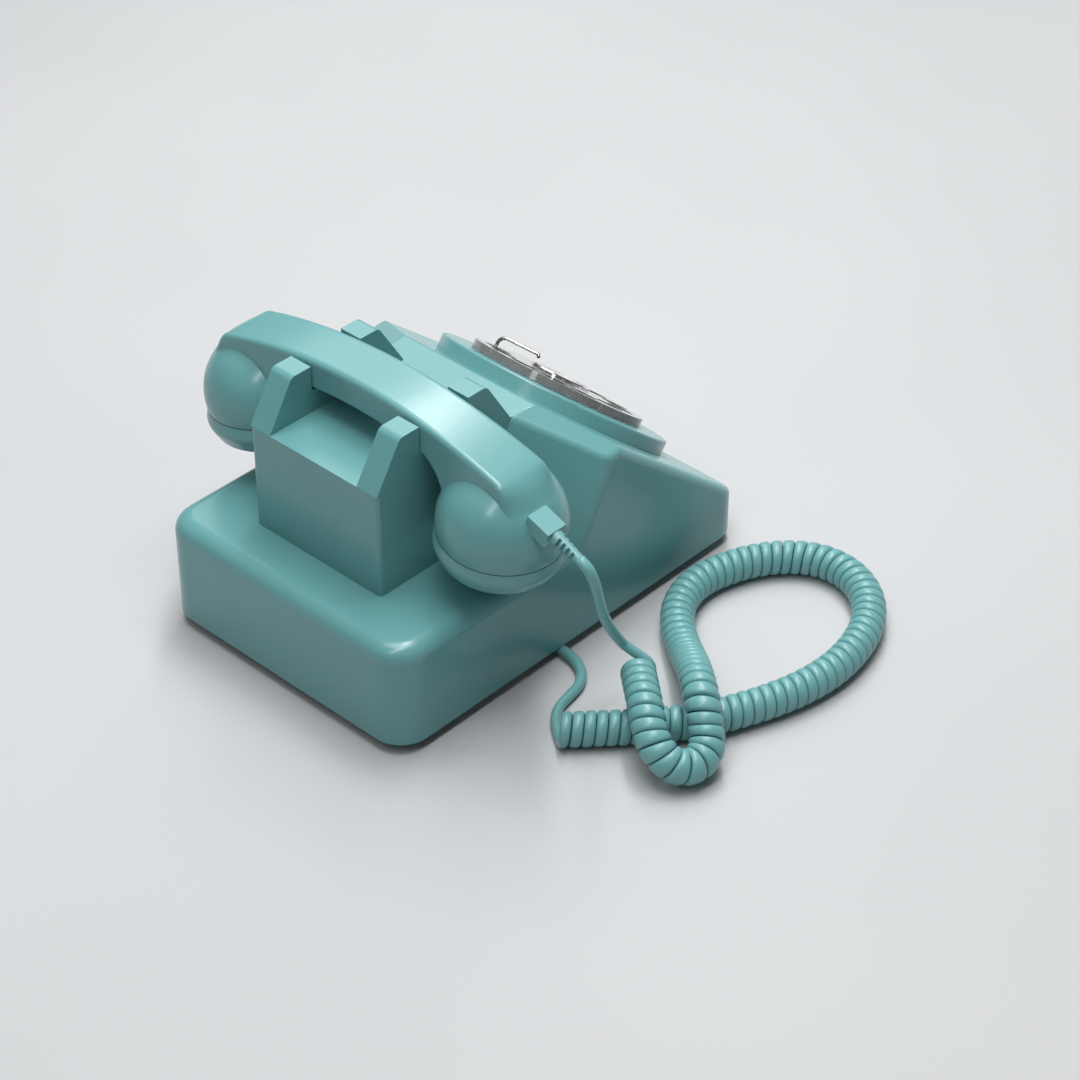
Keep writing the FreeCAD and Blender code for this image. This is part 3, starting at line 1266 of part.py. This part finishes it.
# Check every object, then write one file for each sub-part
doc.recompute()
patterns_only = {screw, foot, dial_screw, gong_screw, spool, terminal}
sub_parts = [o for o in doc.Objects if o.TypeId in ("PartDesign::Body", "Part::Feature")
             and o not in patterns_only]
for item in doc.Objects:
    if "Invalid" in item.State or "Error" in item.State:
        raise ValueError(item.Label + " did not recompute")
for part in sub_parts:
    if part.Shape.isNull() or not part.Shape.isValid() or part.Shape.Volume <= 0:
        raise ValueError(part.Label + " has no valid solid")
os.makedirs("parts", exist_ok=True)
for part in sub_parts:
    part.Shape.exportStep("parts/%s.step" % part.Label)
print(len(sub_parts), "sub-parts")
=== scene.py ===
import math

import bmesh
import bpy
import numpy as np
from mathutils import Matrix, Vector


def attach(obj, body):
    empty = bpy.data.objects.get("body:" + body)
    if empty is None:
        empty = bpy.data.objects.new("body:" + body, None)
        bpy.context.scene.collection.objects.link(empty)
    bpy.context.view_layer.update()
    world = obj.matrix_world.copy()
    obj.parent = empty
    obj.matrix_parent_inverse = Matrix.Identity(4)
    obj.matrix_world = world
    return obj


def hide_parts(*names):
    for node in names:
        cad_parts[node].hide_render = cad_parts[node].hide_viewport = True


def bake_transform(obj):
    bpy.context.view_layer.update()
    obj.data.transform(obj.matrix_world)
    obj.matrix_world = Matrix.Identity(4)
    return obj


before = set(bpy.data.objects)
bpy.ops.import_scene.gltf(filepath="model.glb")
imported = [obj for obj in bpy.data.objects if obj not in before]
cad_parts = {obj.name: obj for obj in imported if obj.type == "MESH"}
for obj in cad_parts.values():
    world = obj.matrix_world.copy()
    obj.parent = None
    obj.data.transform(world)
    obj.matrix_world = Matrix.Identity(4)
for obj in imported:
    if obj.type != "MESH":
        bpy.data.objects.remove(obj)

scene = bpy.context.scene
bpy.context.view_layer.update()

# Studio: a table top of pale painted board, with the camera behind the set's left rear corner. Two narrow
# strips draw the long highlights, a wide soft lamp hangs overhead, and a weak panel beyond the set gives its
# top a sheen.
lamp_aim = Vector((-0.03, 0, 0.05))
camera_place = (-0.7925, 0.7898, 0.8741)
camera_look = Vector((0.54374, -0.57956, -0.60700))
table_reach = 4
board_deep = (0.49, 0.5, 0.51)
board_pale = (0.51, 0.52, 0.53)


def lamp(name, place, watts, width, length, lie):
    """A soft oblong lamp that faces the set, with its length along the way it lies."""
    light = bpy.data.lights.new(name, "AREA")
    light.shape = "RECTANGLE"
    light.size = width
    light.size_y = length
    light.energy = watts
    back = (Vector(place) - lamp_aim).normalized()
    long_way = (Vector(lie) - back * back.dot(Vector(lie))).normalized()
    turned = Matrix((long_way.cross(back), long_way, back)).transposed()
    holder = bpy.data.objects.new(name, light)
    holder.location = place
    holder.rotation_mode = "QUATERNION"
    holder.rotation_quaternion = turned.to_quaternion()
    scene.collection.objects.link(holder)


lamp("front strip", (0.29, -0.53, 1.4), watts=9, width=0.14, length=1.15, lie=(-0.72, 0.69, 0))
lamp("rear strip", (-0.33, 0.6, 1.4), watts=7, width=0.12, length=1.4, lie=(-0.05, 1, 0))
lamp("overhead lamp", (0.05, -0.1, 1.6), watts=20.5, width=1.2, length=1.2, lie=(0, 1, 0))
lamp("far panel", (0.85, -0.93, 1.05), watts=4.5, width=0.9, length=0.9, lie=(0, 0, 1))

camera = bpy.data.objects.new("camera", bpy.data.cameras.new("camera"))
camera.data.lens = 101.0
camera.data.sensor_width = 36.0
camera.data.clip_start = 0.05
camera.location = camera_place
camera.rotation_mode = "QUATERNION"
camera.rotation_quaternion = camera_look.to_track_quat("-Z", "Y")
scene.collection.objects.link(camera)
scene.camera = camera
scene.view_settings.view_transform = "Standard"

world = bpy.data.worlds.new("studio")
world.use_nodes = True
room = world.node_tree.nodes["Background"]
room.inputs["Color"].default_value = (0.86, 0.88, 0.9, 1)
room.inputs["Strength"].default_value = 0.15
scene.world = world


def finish_of(name, colour, roughness, metallic=0.0):
    """A new surface finish, its shader and its node tree."""
    material = bpy.data.materials.new(name)
    material.use_nodes = True
    shader = material.node_tree.nodes["Principled BSDF"]
    shader.inputs["Base Color"].default_value = (*colour, 1)
    shader.inputs["Roughness"].default_value = roughness
    shader.inputs["Metallic"].default_value = metallic
    return material, shader, material.node_tree


def grain(tree, scale, detail=2.0, stretch=(1, 1, 1), distortion=0.0):
    """A noise in the object's own metres, drawn out along the axes by the stretch."""
    place = tree.nodes.new("ShaderNodeTexCoord")
    mapping = tree.nodes.new("ShaderNodeMapping")
    mapping.inputs["Scale"].default_value = stretch
    noise = tree.nodes.new("ShaderNodeTexNoise")
    noise.inputs["Scale"].default_value = scale
    noise.inputs["Detail"].default_value = detail
    noise.inputs["Distortion"].default_value = distortion
    tree.links.new(place.outputs["Object"], mapping.inputs["Vector"])
    tree.links.new(mapping.outputs["Vector"], noise.inputs["Vector"])
    return noise.outputs["Fac"]


def two_tone(tree, source, first, second, start=0.35, end=0.65):
    """A colour that drifts between two shades with a noise."""
    ramp = tree.nodes.new("ShaderNodeValToRGB")
    ramp.color_ramp.elements[0].position = start
    ramp.color_ramp.elements[1].position = end
    ramp.color_ramp.elements[0].color = (*first, 1)
    ramp.color_ramp.elements[1].color = (*second, 1)
    tree.links.new(source, ramp.inputs["Fac"])
    return ramp.outputs["Color"]


def pale_board():
    material, shader, tree = finish_of("pale table", board_deep, 0.7)
    drift = two_tone(tree, grain(tree, scale=3.0), board_deep, board_pale)
    tree.links.new(drift, shader.inputs["Base Color"])
    return material


table_corners = [(x * table_reach, y * table_reach, 0) for x, y in ((-1, -1), (1, -1), (1, 1), (-1, 1))]
table_mesh = bpy.data.meshes.new("table")
table_mesh.from_pydata(table_corners, [], [(0, 1, 2, 3)])
table_mesh.materials.append(pale_board())
table = bpy.data.objects.new("table", table_mesh)
scene.collection.objects.link(table)

# Base: a pressed steel plate that closes the housing from below. Four screws hold it, and it stands on four
# moulded rubber feet. Plate and screws are zinc plated, which leaves a faint spangle.
zinc_dark = (0.52, 0.54, 0.57)
zinc_light = (0.68, 0.69, 0.7)
rubber_clean = (0.015, 0.015, 0.015)
rubber_dusty = (0.03, 0.03, 0.029)


def spread(tree, source, low, high, start=0.3, end=0.7):
    """A noise turned into values between two limits."""
    span = tree.nodes.new("ShaderNodeMapRange")
    span.inputs["From Min"].default_value = start
    span.inputs["From Max"].default_value = end
    span.inputs["To Min"].default_value = low
    span.inputs["To Max"].default_value = high
    tree.links.new(source, span.inputs["Value"])
    return span.outputs["Result"]


def relief(tree, source, depth, strength=0.3):
    """A shallow surface relief of a given depth in metres."""
    bump = tree.nodes.new("ShaderNodeBump")
    bump.inputs["Strength"].default_value = strength
    bump.inputs["Distance"].default_value = depth
    tree.links.new(source, bump.inputs["Height"])
    return bump.outputs["Normal"]


def mottled(name, first, second, smoothest, roughest, metallic=0.0, scale=300, detail=4):
    """A finish whose colour and roughness drift together with one noise."""
    material, shader, tree = finish_of(name, first, smoothest, metallic)
    mottle = grain(tree, scale, detail)
    tree.links.new(two_tone(tree, mottle, first, second), shader.inputs["Base Color"])
    tree.links.new(spread(tree, mottle, smoothest, roughest), shader.inputs["Roughness"])
    return material


def black_rubber():
    material, shader, tree = finish_of("black rubber", rubber_clean, 0.75)
    dust = two_tone(tree, grain(tree, scale=220, detail=5), rubber_clean, rubber_dusty)
    skin = relief(tree, grain(tree, scale=1500), depth=0.0001)
    tree.links.new(dust, shader.inputs["Base Color"])
    tree.links.new(skin, shader.inputs["Normal"])
    return material


def dress(material, *nodes):
    """Give CAD nodes their finish."""
    for node in nodes:
        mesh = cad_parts[node].data
        mesh.materials.clear()
        mesh.materials.append(material)


zinc = mottled("zinc plate", zinc_dark, zinc_light, smoothest=0.3, roughest=0.5, metallic=1.0, scale=160,
               detail=3)
dress(zinc, "base_plate", "base_screws")
dress(black_rubber(), "rubber_feet")

# Works inside: turned brass wheels and spun brass gongs, black phenolic blocks, taped ringer coils, white
# moulded plungers and drawn aluminium capsules. Brackets, frames and screws of the same plated steel hold the
# works, and the cups' caps hold the capsules.
brass = mottled("brass", (0.62, 0.43, 0.16), (0.72, 0.53, 0.22), smoothest=0.22, roughest=0.36, metallic=1.0)
phenolic = mottled("phenolic", (0.02, 0.018, 0.016), (0.035, 0.03, 0.026), smoothest=0.35, roughest=0.5)
coil_tape = mottled("coil tape", (0.2, 0.05, 0.03), (0.27, 0.08, 0.045), smoothest=0.5, roughest=0.7,
                    scale=900)
white_plunger = mottled("white plunger", (0.62, 0.62, 0.6), (0.7, 0.7, 0.68), smoothest=0.3, roughest=0.42)
capsule_metal = mottled("capsule aluminium", (0.66, 0.66, 0.68), (0.74, 0.74, 0.76), smoothest=0.3,
                        roughest=0.44, metallic=1.0)
dress(zinc, "dial_frame", "dial_screws", "spring_barrel", "dial_bridge", "dial_shaft", "ringer_frame",
      "ringer_armature", "clapper", "gong_screws", "terminal_screws", "hookswitch_bracket",
      "hookswitch_spring")
dress(brass, "main_gear", "governor_pinion", "governor_drum", "gong_left", "gong_right")
dress(phenolic, "dial_contacts", "network_block", "hookswitch_contacts", "cord_clamp", "plunger_yoke")
dress(coil_tape, "ringer_coils")
dress(white_plunger, "hook_plungers")
dress(capsule_metal, "receiver_capsule", "transmitter_capsule")

# Housing and the dial's round plate: teal plastic, injection moulded and left semi-gloss, with fine rubbing
# marks that show in the highlights. Screws from below hold the housing, and the plate sits on its slope.
teal_deep = (0.128, 0.325, 0.332)
teal_pale = (0.135, 0.342, 0.349)


def teal_plastic():
    material, shader, tree = finish_of("teal plastic", teal_deep, 0.24)
    drift = two_tone(tree, grain(tree, scale=14, detail=4), teal_deep, teal_pale)
    rubbing = grain(tree, scale=1800, detail=8, stretch=(1, 0.3, 1), distortion=0.4)
    skin = relief(tree, grain(tree, scale=3200, detail=3), depth=0.00001, strength=0.2)
    tree.links.new(drift, shader.inputs["Base Color"])
    tree.links.new(spread(tree, rubbing, low=0.22, high=0.255), shader.inputs["Roughness"])
    tree.links.new(skin, shader.inputs["Normal"])
    return material


teal = teal_plastic()
dress(teal, "housing", "dial_bezel")

# Dial face: a steel plate in dark enamel, fixed under the wheel, with a printed number for each finger hole.
# The dial's own axes have their middle on the housing's slope, and Z points straight out of it.
slope = math.radians(39.8)
dial_middle = (0, -0.060766, 0.067937)
dial = Matrix.Translation(dial_middle) @ Matrix.Rotation(slope, 4, "X")
number_top = 0.0058  # face of the plate, along the dial's axis
number_size = 0.0085
ink_lift = 0.00003  # middle of the ink above the plate
ink_half = 0.00002  # half the ink's thickness
hole_count = 10
hole_circle = 0.0315
first_hole = math.radians(30)
hole_step = math.radians(30)
enamel_deep = (0.016, 0.018, 0.019)
enamel_pale = (0.028, 0.03, 0.031)


def dark_enamel():
    material, shader, tree = finish_of("dark enamel", enamel_deep, 0.3)
    drift = two_tone(tree, grain(tree, scale=400, detail=4), enamel_deep, enamel_pale)
    tree.links.new(drift, shader.inputs["Base Color"])
    return material


def printed_number(text, place):
    """The flat mesh of one number, at its place in the dial's own axes."""
    letter = bpy.data.curves.new("number", "FONT")
    letter.body = text
    letter.size = number_size
    letter.align_x = "CENTER"
    letter.align_y = "CENTER"
    letter.extrude = ink_half
    holder = bpy.data.objects.new("number", letter)
    drawn = bpy.data.meshes.new_from_object(holder)
    drawn.transform(dial @ Matrix.Translation(place))
    bpy.data.objects.remove(holder)
    return drawn


dress(dark_enamel(), "number_plate")
numbers = bmesh.new()
for hole in range(hole_count):
    angle = first_hole + hole * hole_step
    across, up = hole_circle * math.cos(angle), hole_circle * math.sin(angle)
    drawn = printed_number(str((hole + 1) % hole_count), (across, up, number_top + ink_lift))
    numbers.from_mesh(drawn)
    bpy.data.meshes.remove(drawn)
number_mesh = bpy.data.meshes.new("dial_numbers")
numbers.to_mesh(number_mesh)
numbers.free()
number_mesh.materials.append(mottled("printed number", (0.72, 0.7, 0.62), (0.78, 0.76, 0.68),
                                     smoothest=0.5, roughest=0.6))
dial_numbers = bpy.data.objects.new("dial_numbers", number_mesh)
scene.collection.objects.link(dial_numbers)
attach(dial_numbers, "base")

# Finger wheel: a thick disc of clear acrylic, drilled with ten finger holes and carried by the dial's shaft.
# The walls of the holes are painted near black as painted shade, which darkens the holes.
hole_ring_inside = 0.024  # the holes lie between these two radii
hole_ring_outside = 0.0395
wall_tilt = 0.5  # a face that looks along the dial's axis by less than this is a wall


def clear_acrylic():
    material, shader, tree = finish_of("clear acrylic", (0.66, 0.665, 0.66), 0.1)
    shader.inputs["Transmission Weight"].default_value = 0.76
    shader.inputs["IOR"].default_value = 1.49
    shader.inputs["Specular IOR Level"].default_value = 0.0
    wear = spread(tree, grain(tree, scale=700, detail=5), low=0.03, high=0.09)
    tree.links.new(wear, shader.inputs["Roughness"])
    return material


dress(clear_acrylic(), "finger_wheel")
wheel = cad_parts["finger_wheel"]
# A second finish of near-black painted shade, laid on the walls of the finger holes.
wheel.data.materials.append(mottled("hole wall painted shade", (0.028, 0.028, 0.028), (0.045, 0.045, 0.044),
                                    smoothest=0.2, roughest=0.35))
to_dial = dial.inverted() @ wheel.matrix_world
for face in wheel.data.polygons:
    middle = to_dial @ face.center
    facing = to_dial.to_3x3() @ face.normal
    in_hole_ring = hole_ring_inside < math.hypot(middle.x, middle.y) < hole_ring_outside
    if abs(facing.z) < wall_tilt and in_hole_ring:
        face.material_index = 1

# Middle of the dial and finger stop: a bright plated cap that holds a blank paper card on the wheel, and a
# bent nickel-plated wire that is fixed on the round plate and reaches over the wheel's edge.
card_low = 0.0124  # underside of the card, along the dial's axis
card_bore = 0.0001  # the card is turned as a ring with a pinhole
card_radius = 0.0128
card_edge = 0.00015  # thickness at the rim
card_crown = 0.0003  # thickness in the middle


def bright_plate(name, colour):
    material, shader, tree = finish_of(name, colour, 0.1, metallic=1.0)
    wear = spread(tree, grain(tree, scale=800, detail=4), low=0.05, high=0.2)
    tree.links.new(wear, shader.inputs["Roughness"])
    return material


def turned_piece(name, profile, material, place, steps=96, crease=math.radians(35)):
    """A closed ring turned about the place's Z axis from corners of radius and height."""
    mesh = bpy.data.meshes.new(name)
    corners = []
    for step in range(steps):
        turn = 2 * math.pi * step / steps
        corners += [(r * math.cos(turn), r * math.sin(turn), z) for r, z in profile]
    count = len(profile)
    faces = []
    for step in range(steps):
        here, there = step * count, (step + 1) % steps * count
        for i in range(count):
            j = (i + 1) % count
            faces.append((here + i, there + i, there + j, here + j))
    mesh.from_pydata(corners, [], faces)
    mesh.transform(place)
    mesh.polygons.foreach_set("use_smooth", [True] * len(mesh.polygons))
    mesh.set_sharp_from_angle(angle=crease)
    mesh.materials.append(material)
    piece = bpy.data.objects.new(name, mesh)
    scene.collection.objects.link(piece)
    return piece


dress(bright_plate("bright plate", (0.78, 0.78, 0.8)), "dial_center_cap")
dress(bright_plate("nickel wire", (0.42, 0.38, 0.35)), "finger_stop")
card_paper = mottled("card", (0.7, 0.68, 0.6), (0.76, 0.74, 0.66), smoothest=0.55, roughest=0.65)
card_profile = [(card_bore, card_low), (card_radius, card_low), (card_radius, card_low + card_edge),
                (card_bore, card_low + card_crown)]
dial_card = turned_piece("dial_card", card_profile, card_paper, dial)
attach(dial_card, "dial")

# Handset: a handle with two hollow ball-shaped cups, moulded in the housing's teal plastic. A cap is screwed
# on below each leaning cup, and the seam between them is a narrow gap, drawn as a thin ring of painted shade.
ball_reach, cradle_y, ball_height = 0.0736, 0.0469, 0.0954  # middle of a cup's ball
cup_lean = math.radians(7)
seam_drop = 0.0062  # below the ball's middle
seam_inside = 0.0280
seam_outside = 0.02862
seam_half = 0.0002

dress(teal, "handset_handle", "receiver_cap", "transmitter_cap")
# The seam ring's dark teal is painted shade, standing for the shade that falls in the gap between cup and
# cap.
seam_shadow = mottled("seam_painted_shade", (0.012, 0.03, 0.031), (0.018, 0.04, 0.041), smoothest=0.6, roughest=0.8)
seam_profile = [(seam_inside, -seam_half), (seam_outside, -seam_half), (seam_outside, seam_half),
                (seam_inside, seam_half)]
for side, name in ((1, "receiver_seam"), (-1, "transmitter_seam")):
    cup = (Matrix.Translation((side * ball_reach, cradle_y, ball_height))
           @ Matrix.Rotation(side * cup_lean, 4, "Y"))
    seam_painted_shade = turned_piece(name, seam_profile, seam_shadow, cup @ Matrix.Translation((0, 0, -seam_drop)))
    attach(seam_painted_shade, "handset")

# Cord: one length of teal vinyl wire. It leaves the clamp under the housing, lies in a loop wound as a tight
# curl, and rises as a plain lead to the plug that is moulded on its end and pushed into the handset.
wire = 0.0023  # radius
lead_more = 0.0003  # added to the radius in the leads
curl_radius = 0.0059  # from the route to the wire's middle
curl_gap = 0.0007  # between the curls, before they are pressed together
curl_groove = 0.00012  # left on each side of a pressed curl
curl_ease = 0.15  # share of the squeeze inside a bend by which the curls are spread
curl_start = math.radians(30)
curl_points = 24  # along one curl
curl_thin, curl_wide = 0.0015, 0.0047  # limits of a pressed curl's half width
curl_square = 0.35  # how far a pressed curl goes from round to square
curl_sink = 0.06  # share by which a pressed curl stands less proud
curl_fade, lead_fade = 18, 30  # points over which curl and lead reach their form
lead_every = 6  # one point in so many is kept of a lead's curve
base_lead_run = 3.5  # radii that the lead under the housing goes on straight
route_points = 24  # on the curve, for each point of a route
vinyl_deep = (0.148, 0.362, 0.369)
vinyl_pale = (0.156, 0.381, 0.388)
plug_tip = (-0.12181, 0.0509, 0.10156)
clamp_face = (-0.0665, 0.0109, 0.0031)
coil_route = [
    (-0.1266, 0.0176, 0.0249), (-0.1350, 0.0252, 0.0264), (-0.1475, 0.0360, 0.0262),
    (-0.1595, 0.0449, 0.0185), (-0.1695, 0.0440, 0.0115), (-0.1759, 0.0363, 0.0094),
    (-0.1750, 0.0263, 0.0125), (-0.1695, 0.0212, 0.0185), (-0.1620, 0.0155, 0.0262),
    (-0.1515, 0.0065, 0.0264), (-0.1410, -0.0030, 0.0215), (-0.1310, -0.0125, 0.0145),
    (-0.1195, -0.0218, 0.0098), (-0.1080, -0.0310, 0.0084), (-0.0985, -0.0415, 0.0083),
    (-0.0932, -0.0535, 0.0083), (-0.0918, -0.0665, 0.0083), (-0.0952, -0.0815, 0.0083),
    (-0.1010, -0.0950, 0.0083), (-0.1100, -0.1070, 0.0083), (-0.1226, -0.1153, 0.0083),
    (-0.1370, -0.1168, 0.0083), (-0.1505, -0.1122, 0.0083), (-0.1620, -0.1030, 0.0083),
    (-0.1705, -0.0895, 0.0083), (-0.1754, -0.0740, 0.0083), (-0.1773, -0.0585, 0.0083),
    (-0.1762, -0.0420, 0.0083), (-0.1725, -0.0265, 0.0083), (-0.1670, -0.0115, 0.0083),
    (-0.1595, 0.0050, 0.0083), (-0.1485, 0.0215, 0.0083), (-0.1340, 0.0380, 0.0083),
    (-0.1165, 0.0564, 0.0083)]


def smooth_line(points):
    """Points along a smooth curve that a route's points control."""
    curve = bpy.data.curves.new("route", "CURVE")
    curve.dimensions = "3D"
    curve.resolution_u = route_points
    spline = curve.splines.new("NURBS")
    spline.points.add(len(points) - 1)
    for control, place in zip(spline.points, points):
        control.co = (*place, 1)
    spline.order_u = 3
    spline.use_endpoint_u = True
    holder = bpy.data.objects.new("route", curve)
    line = bpy.data.meshes.new_from_object(holder)
    places = [v.co.copy() for v in line.vertices]
    bpy.data.objects.remove(holder)
    bpy.data.curves.remove(curve)
    bpy.data.meshes.remove(line)
    return places


def curls(route):
    """The wire's middle along a left-handed helix round the route, and at each point the way out from the
    route and half the room between neighbouring curls."""
    line = smooth_line(route)
    steps = [(b - a).length for a, b in zip(line, line[1:])]
    ways = [(b - a).normalized() for a, b in zip(line, line[1:])]
    ways.append(ways[-1])
    phases, overs = [0.0], [(Vector((0, 0, 1)) - ways[0] * ways[0].z).normalized()]
    for i, step in enumerate(steps):
        bend = ways[i].angle(ways[i + 1]) / step
        eased = 1 - curl_ease * curl_radius * bend
        phases.append(phases[-1] + 2 * math.pi * step * eased / (2 * wire + curl_gap))
        overs.append((overs[-1] - ways[i + 1] * ways[i + 1].dot(overs[-1])).normalized())
    end = math.atan2(-overs[-1].cross(ways[-1]).z, -overs[-1].z)
    turns = math.floor((phases[-1] + curl_start - end) / (2 * math.pi))
    total = 2 * math.pi * turns + end - curl_start
    wanted = np.linspace(0, total, curl_points * turns)
    known = np.array(phases) * total / phases[-1]
    middles, along, over = (
        np.stack([np.interp(wanted, known, [p[k] for p in places]) for k in range(3)], 1)
        for places in (line, ways, overs))
    along /= np.linalg.norm(along, axis=1)[:, None]
    over -= along * (over * along).sum(1)[:, None]
    over /= np.linalg.norm(over, axis=1)[:, None]
    side = np.cross(over, along)
    turn = (wanted + curl_start)[:, None]
    out = over * np.cos(turn) + side * np.sin(turn)
    wound = middles + out * curl_radius
    half_turn = curl_points // 2
    rise = ((wound[curl_points:] - wound[:-curl_points]) * along[half_turn:-half_turn]).sum(1)
    ahead = np.concatenate([rise, np.repeat(rise[-1:], curl_points)])
    behind = np.concatenate([np.repeat(rise[:1], curl_points), rise])
    halves = np.clip((ahead + behind) / 4 - curl_groove, curl_thin, curl_wide)
    return [Vector(p) for p in wound], [Vector(o) for o in out], list(halves)


coil, coil_outward, coil_halves = curls(coil_route)
start_way = (coil[1] - coil[0]).normalized()
end_way = coil[-1] - coil[-2]
end_way.z = 0
end_way.normalize()
coil_first = coil[0] - start_way * 2 * wire
coil_last = coil[-1] + end_way * 2 * wire
handset_lead = smooth_line([
    plug_tip, (-0.12578, 0.0509, 0.10012), (-0.1281, 0.0504, 0.0965), (-0.1285, 0.0479, 0.0891),
    (-0.1261, 0.0433, 0.0776), (-0.1222, 0.0356, 0.0621), (-0.1198, 0.0272, 0.0483),
    (-0.1196, 0.0209, 0.0381), coil_first - start_way * 2 * wire, coil_first])[::lead_every]
base_lead = smooth_line([
    coil_last, coil_last + end_way * base_lead_run * wire, (-0.1012, 0.0412, 0.0028),
    (-0.0996, 0.0325, 0.0028), (-0.0980, 0.0240, 0.0028), (-0.0934, 0.0168, 0.0028),
    (-0.0856, 0.0122, 0.0029), (-0.0760, 0.0109, 0.0031), clamp_face])
base_lead = base_lead[:-1:lead_every] + base_lead[-1:]
cord_path = handset_lead + coil + base_lead
before, after = len(handset_lead), len(base_lead)


def squared_off(value, power):
    """A cosine or sine drawn from the circle towards the square as the power falls below 1."""
    return math.copysign(abs(value) ** power, value)


def cord_mesh(sides=14):
    """The wire's skin: round in the leads, pressed flat against its neighbours in the curls."""
    ways = [(b - a).normalized() for a, b in zip(cord_path, cord_path[1:])]
    ways.append(ways[-1])
    coil_end = len(cord_path) - after
    outward = [None] * before + coil_outward + [None] * after
    for i in range(before - 1, -1, -1):
        outward[i] = (outward[i + 1] - ways[i] * ways[i].dot(outward[i + 1])).normalized()
    for i in range(coil_end, len(cord_path)):
        outward[i] = (outward[i - 1] - ways[i] * ways[i].dot(outward[i - 1])).normalized()
    corners = []
    for i, (place, way, out) in enumerate(zip(cord_path, ways, outward)):
        flat = min(1, max(0, min(i - before, coil_end - i) / curl_fade))
        plain = wire + lead_more * min(1, max(0, max(before - i, i - coil_end) / lead_fade))
        half = plain + flat * (coil_halves[i - before] - wire) if flat else plain
        out = (out - way * way.dot(out)).normalized()
        across = way.cross(out)
        power = 1 - curl_square * flat
        for k in range(sides):
            turn = 2 * math.pi * (k + 0.5) / sides
            a = squared_off(math.cos(turn), power) * half
            b = squared_off(math.sin(turn), power) * plain * (1 - curl_sink * flat)
            corners.append(place + across * a + out * b)
    faces = []
    for ring in range(len(cord_path) - 1):
        low, high = ring * sides, (ring + 1) * sides
        faces += [(low + k, low + (k + 1) % sides, high + (k + 1) % sides, high + k) for k in range(sides)]
    faces.append(tuple(reversed(range(sides))))
    faces.append(tuple(range(len(corners) - sides, len(corners))))
    mesh = bpy.data.meshes.new("handset_cord")
    mesh.from_pydata(corners, [], faces)
    mesh.polygons.foreach_set("use_smooth", [True] * len(mesh.polygons))
    return mesh


def teal_vinyl():
    material, shader, tree = finish_of("teal vinyl", vinyl_deep, 0.31)
    drift = two_tone(tree, grain(tree, scale=40, detail=3), vinyl_deep, vinyl_pale)
    wear = spread(tree, grain(tree, scale=1200, detail=4), low=0.27, high=0.36)
    skin = relief(tree, grain(tree, scale=3000), depth=0.00003)
    tree.links.new(drift, shader.inputs["Base Color"])
    tree.links.new(wear, shader.inputs["Roughness"])
    tree.links.new(skin, shader.inputs["Normal"])
    return material


vinyl = teal_vinyl()
dress(vinyl, "cord_plug")
cord = bpy.data.objects.new("handset_cord", cord_mesh())
cord.data.materials.append(vinyl)
scene.collection.objects.link(cord)
cord_path.reverse()
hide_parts("cord_handset_lead", "cord_coil", "cord_base_lead")
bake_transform(cord)
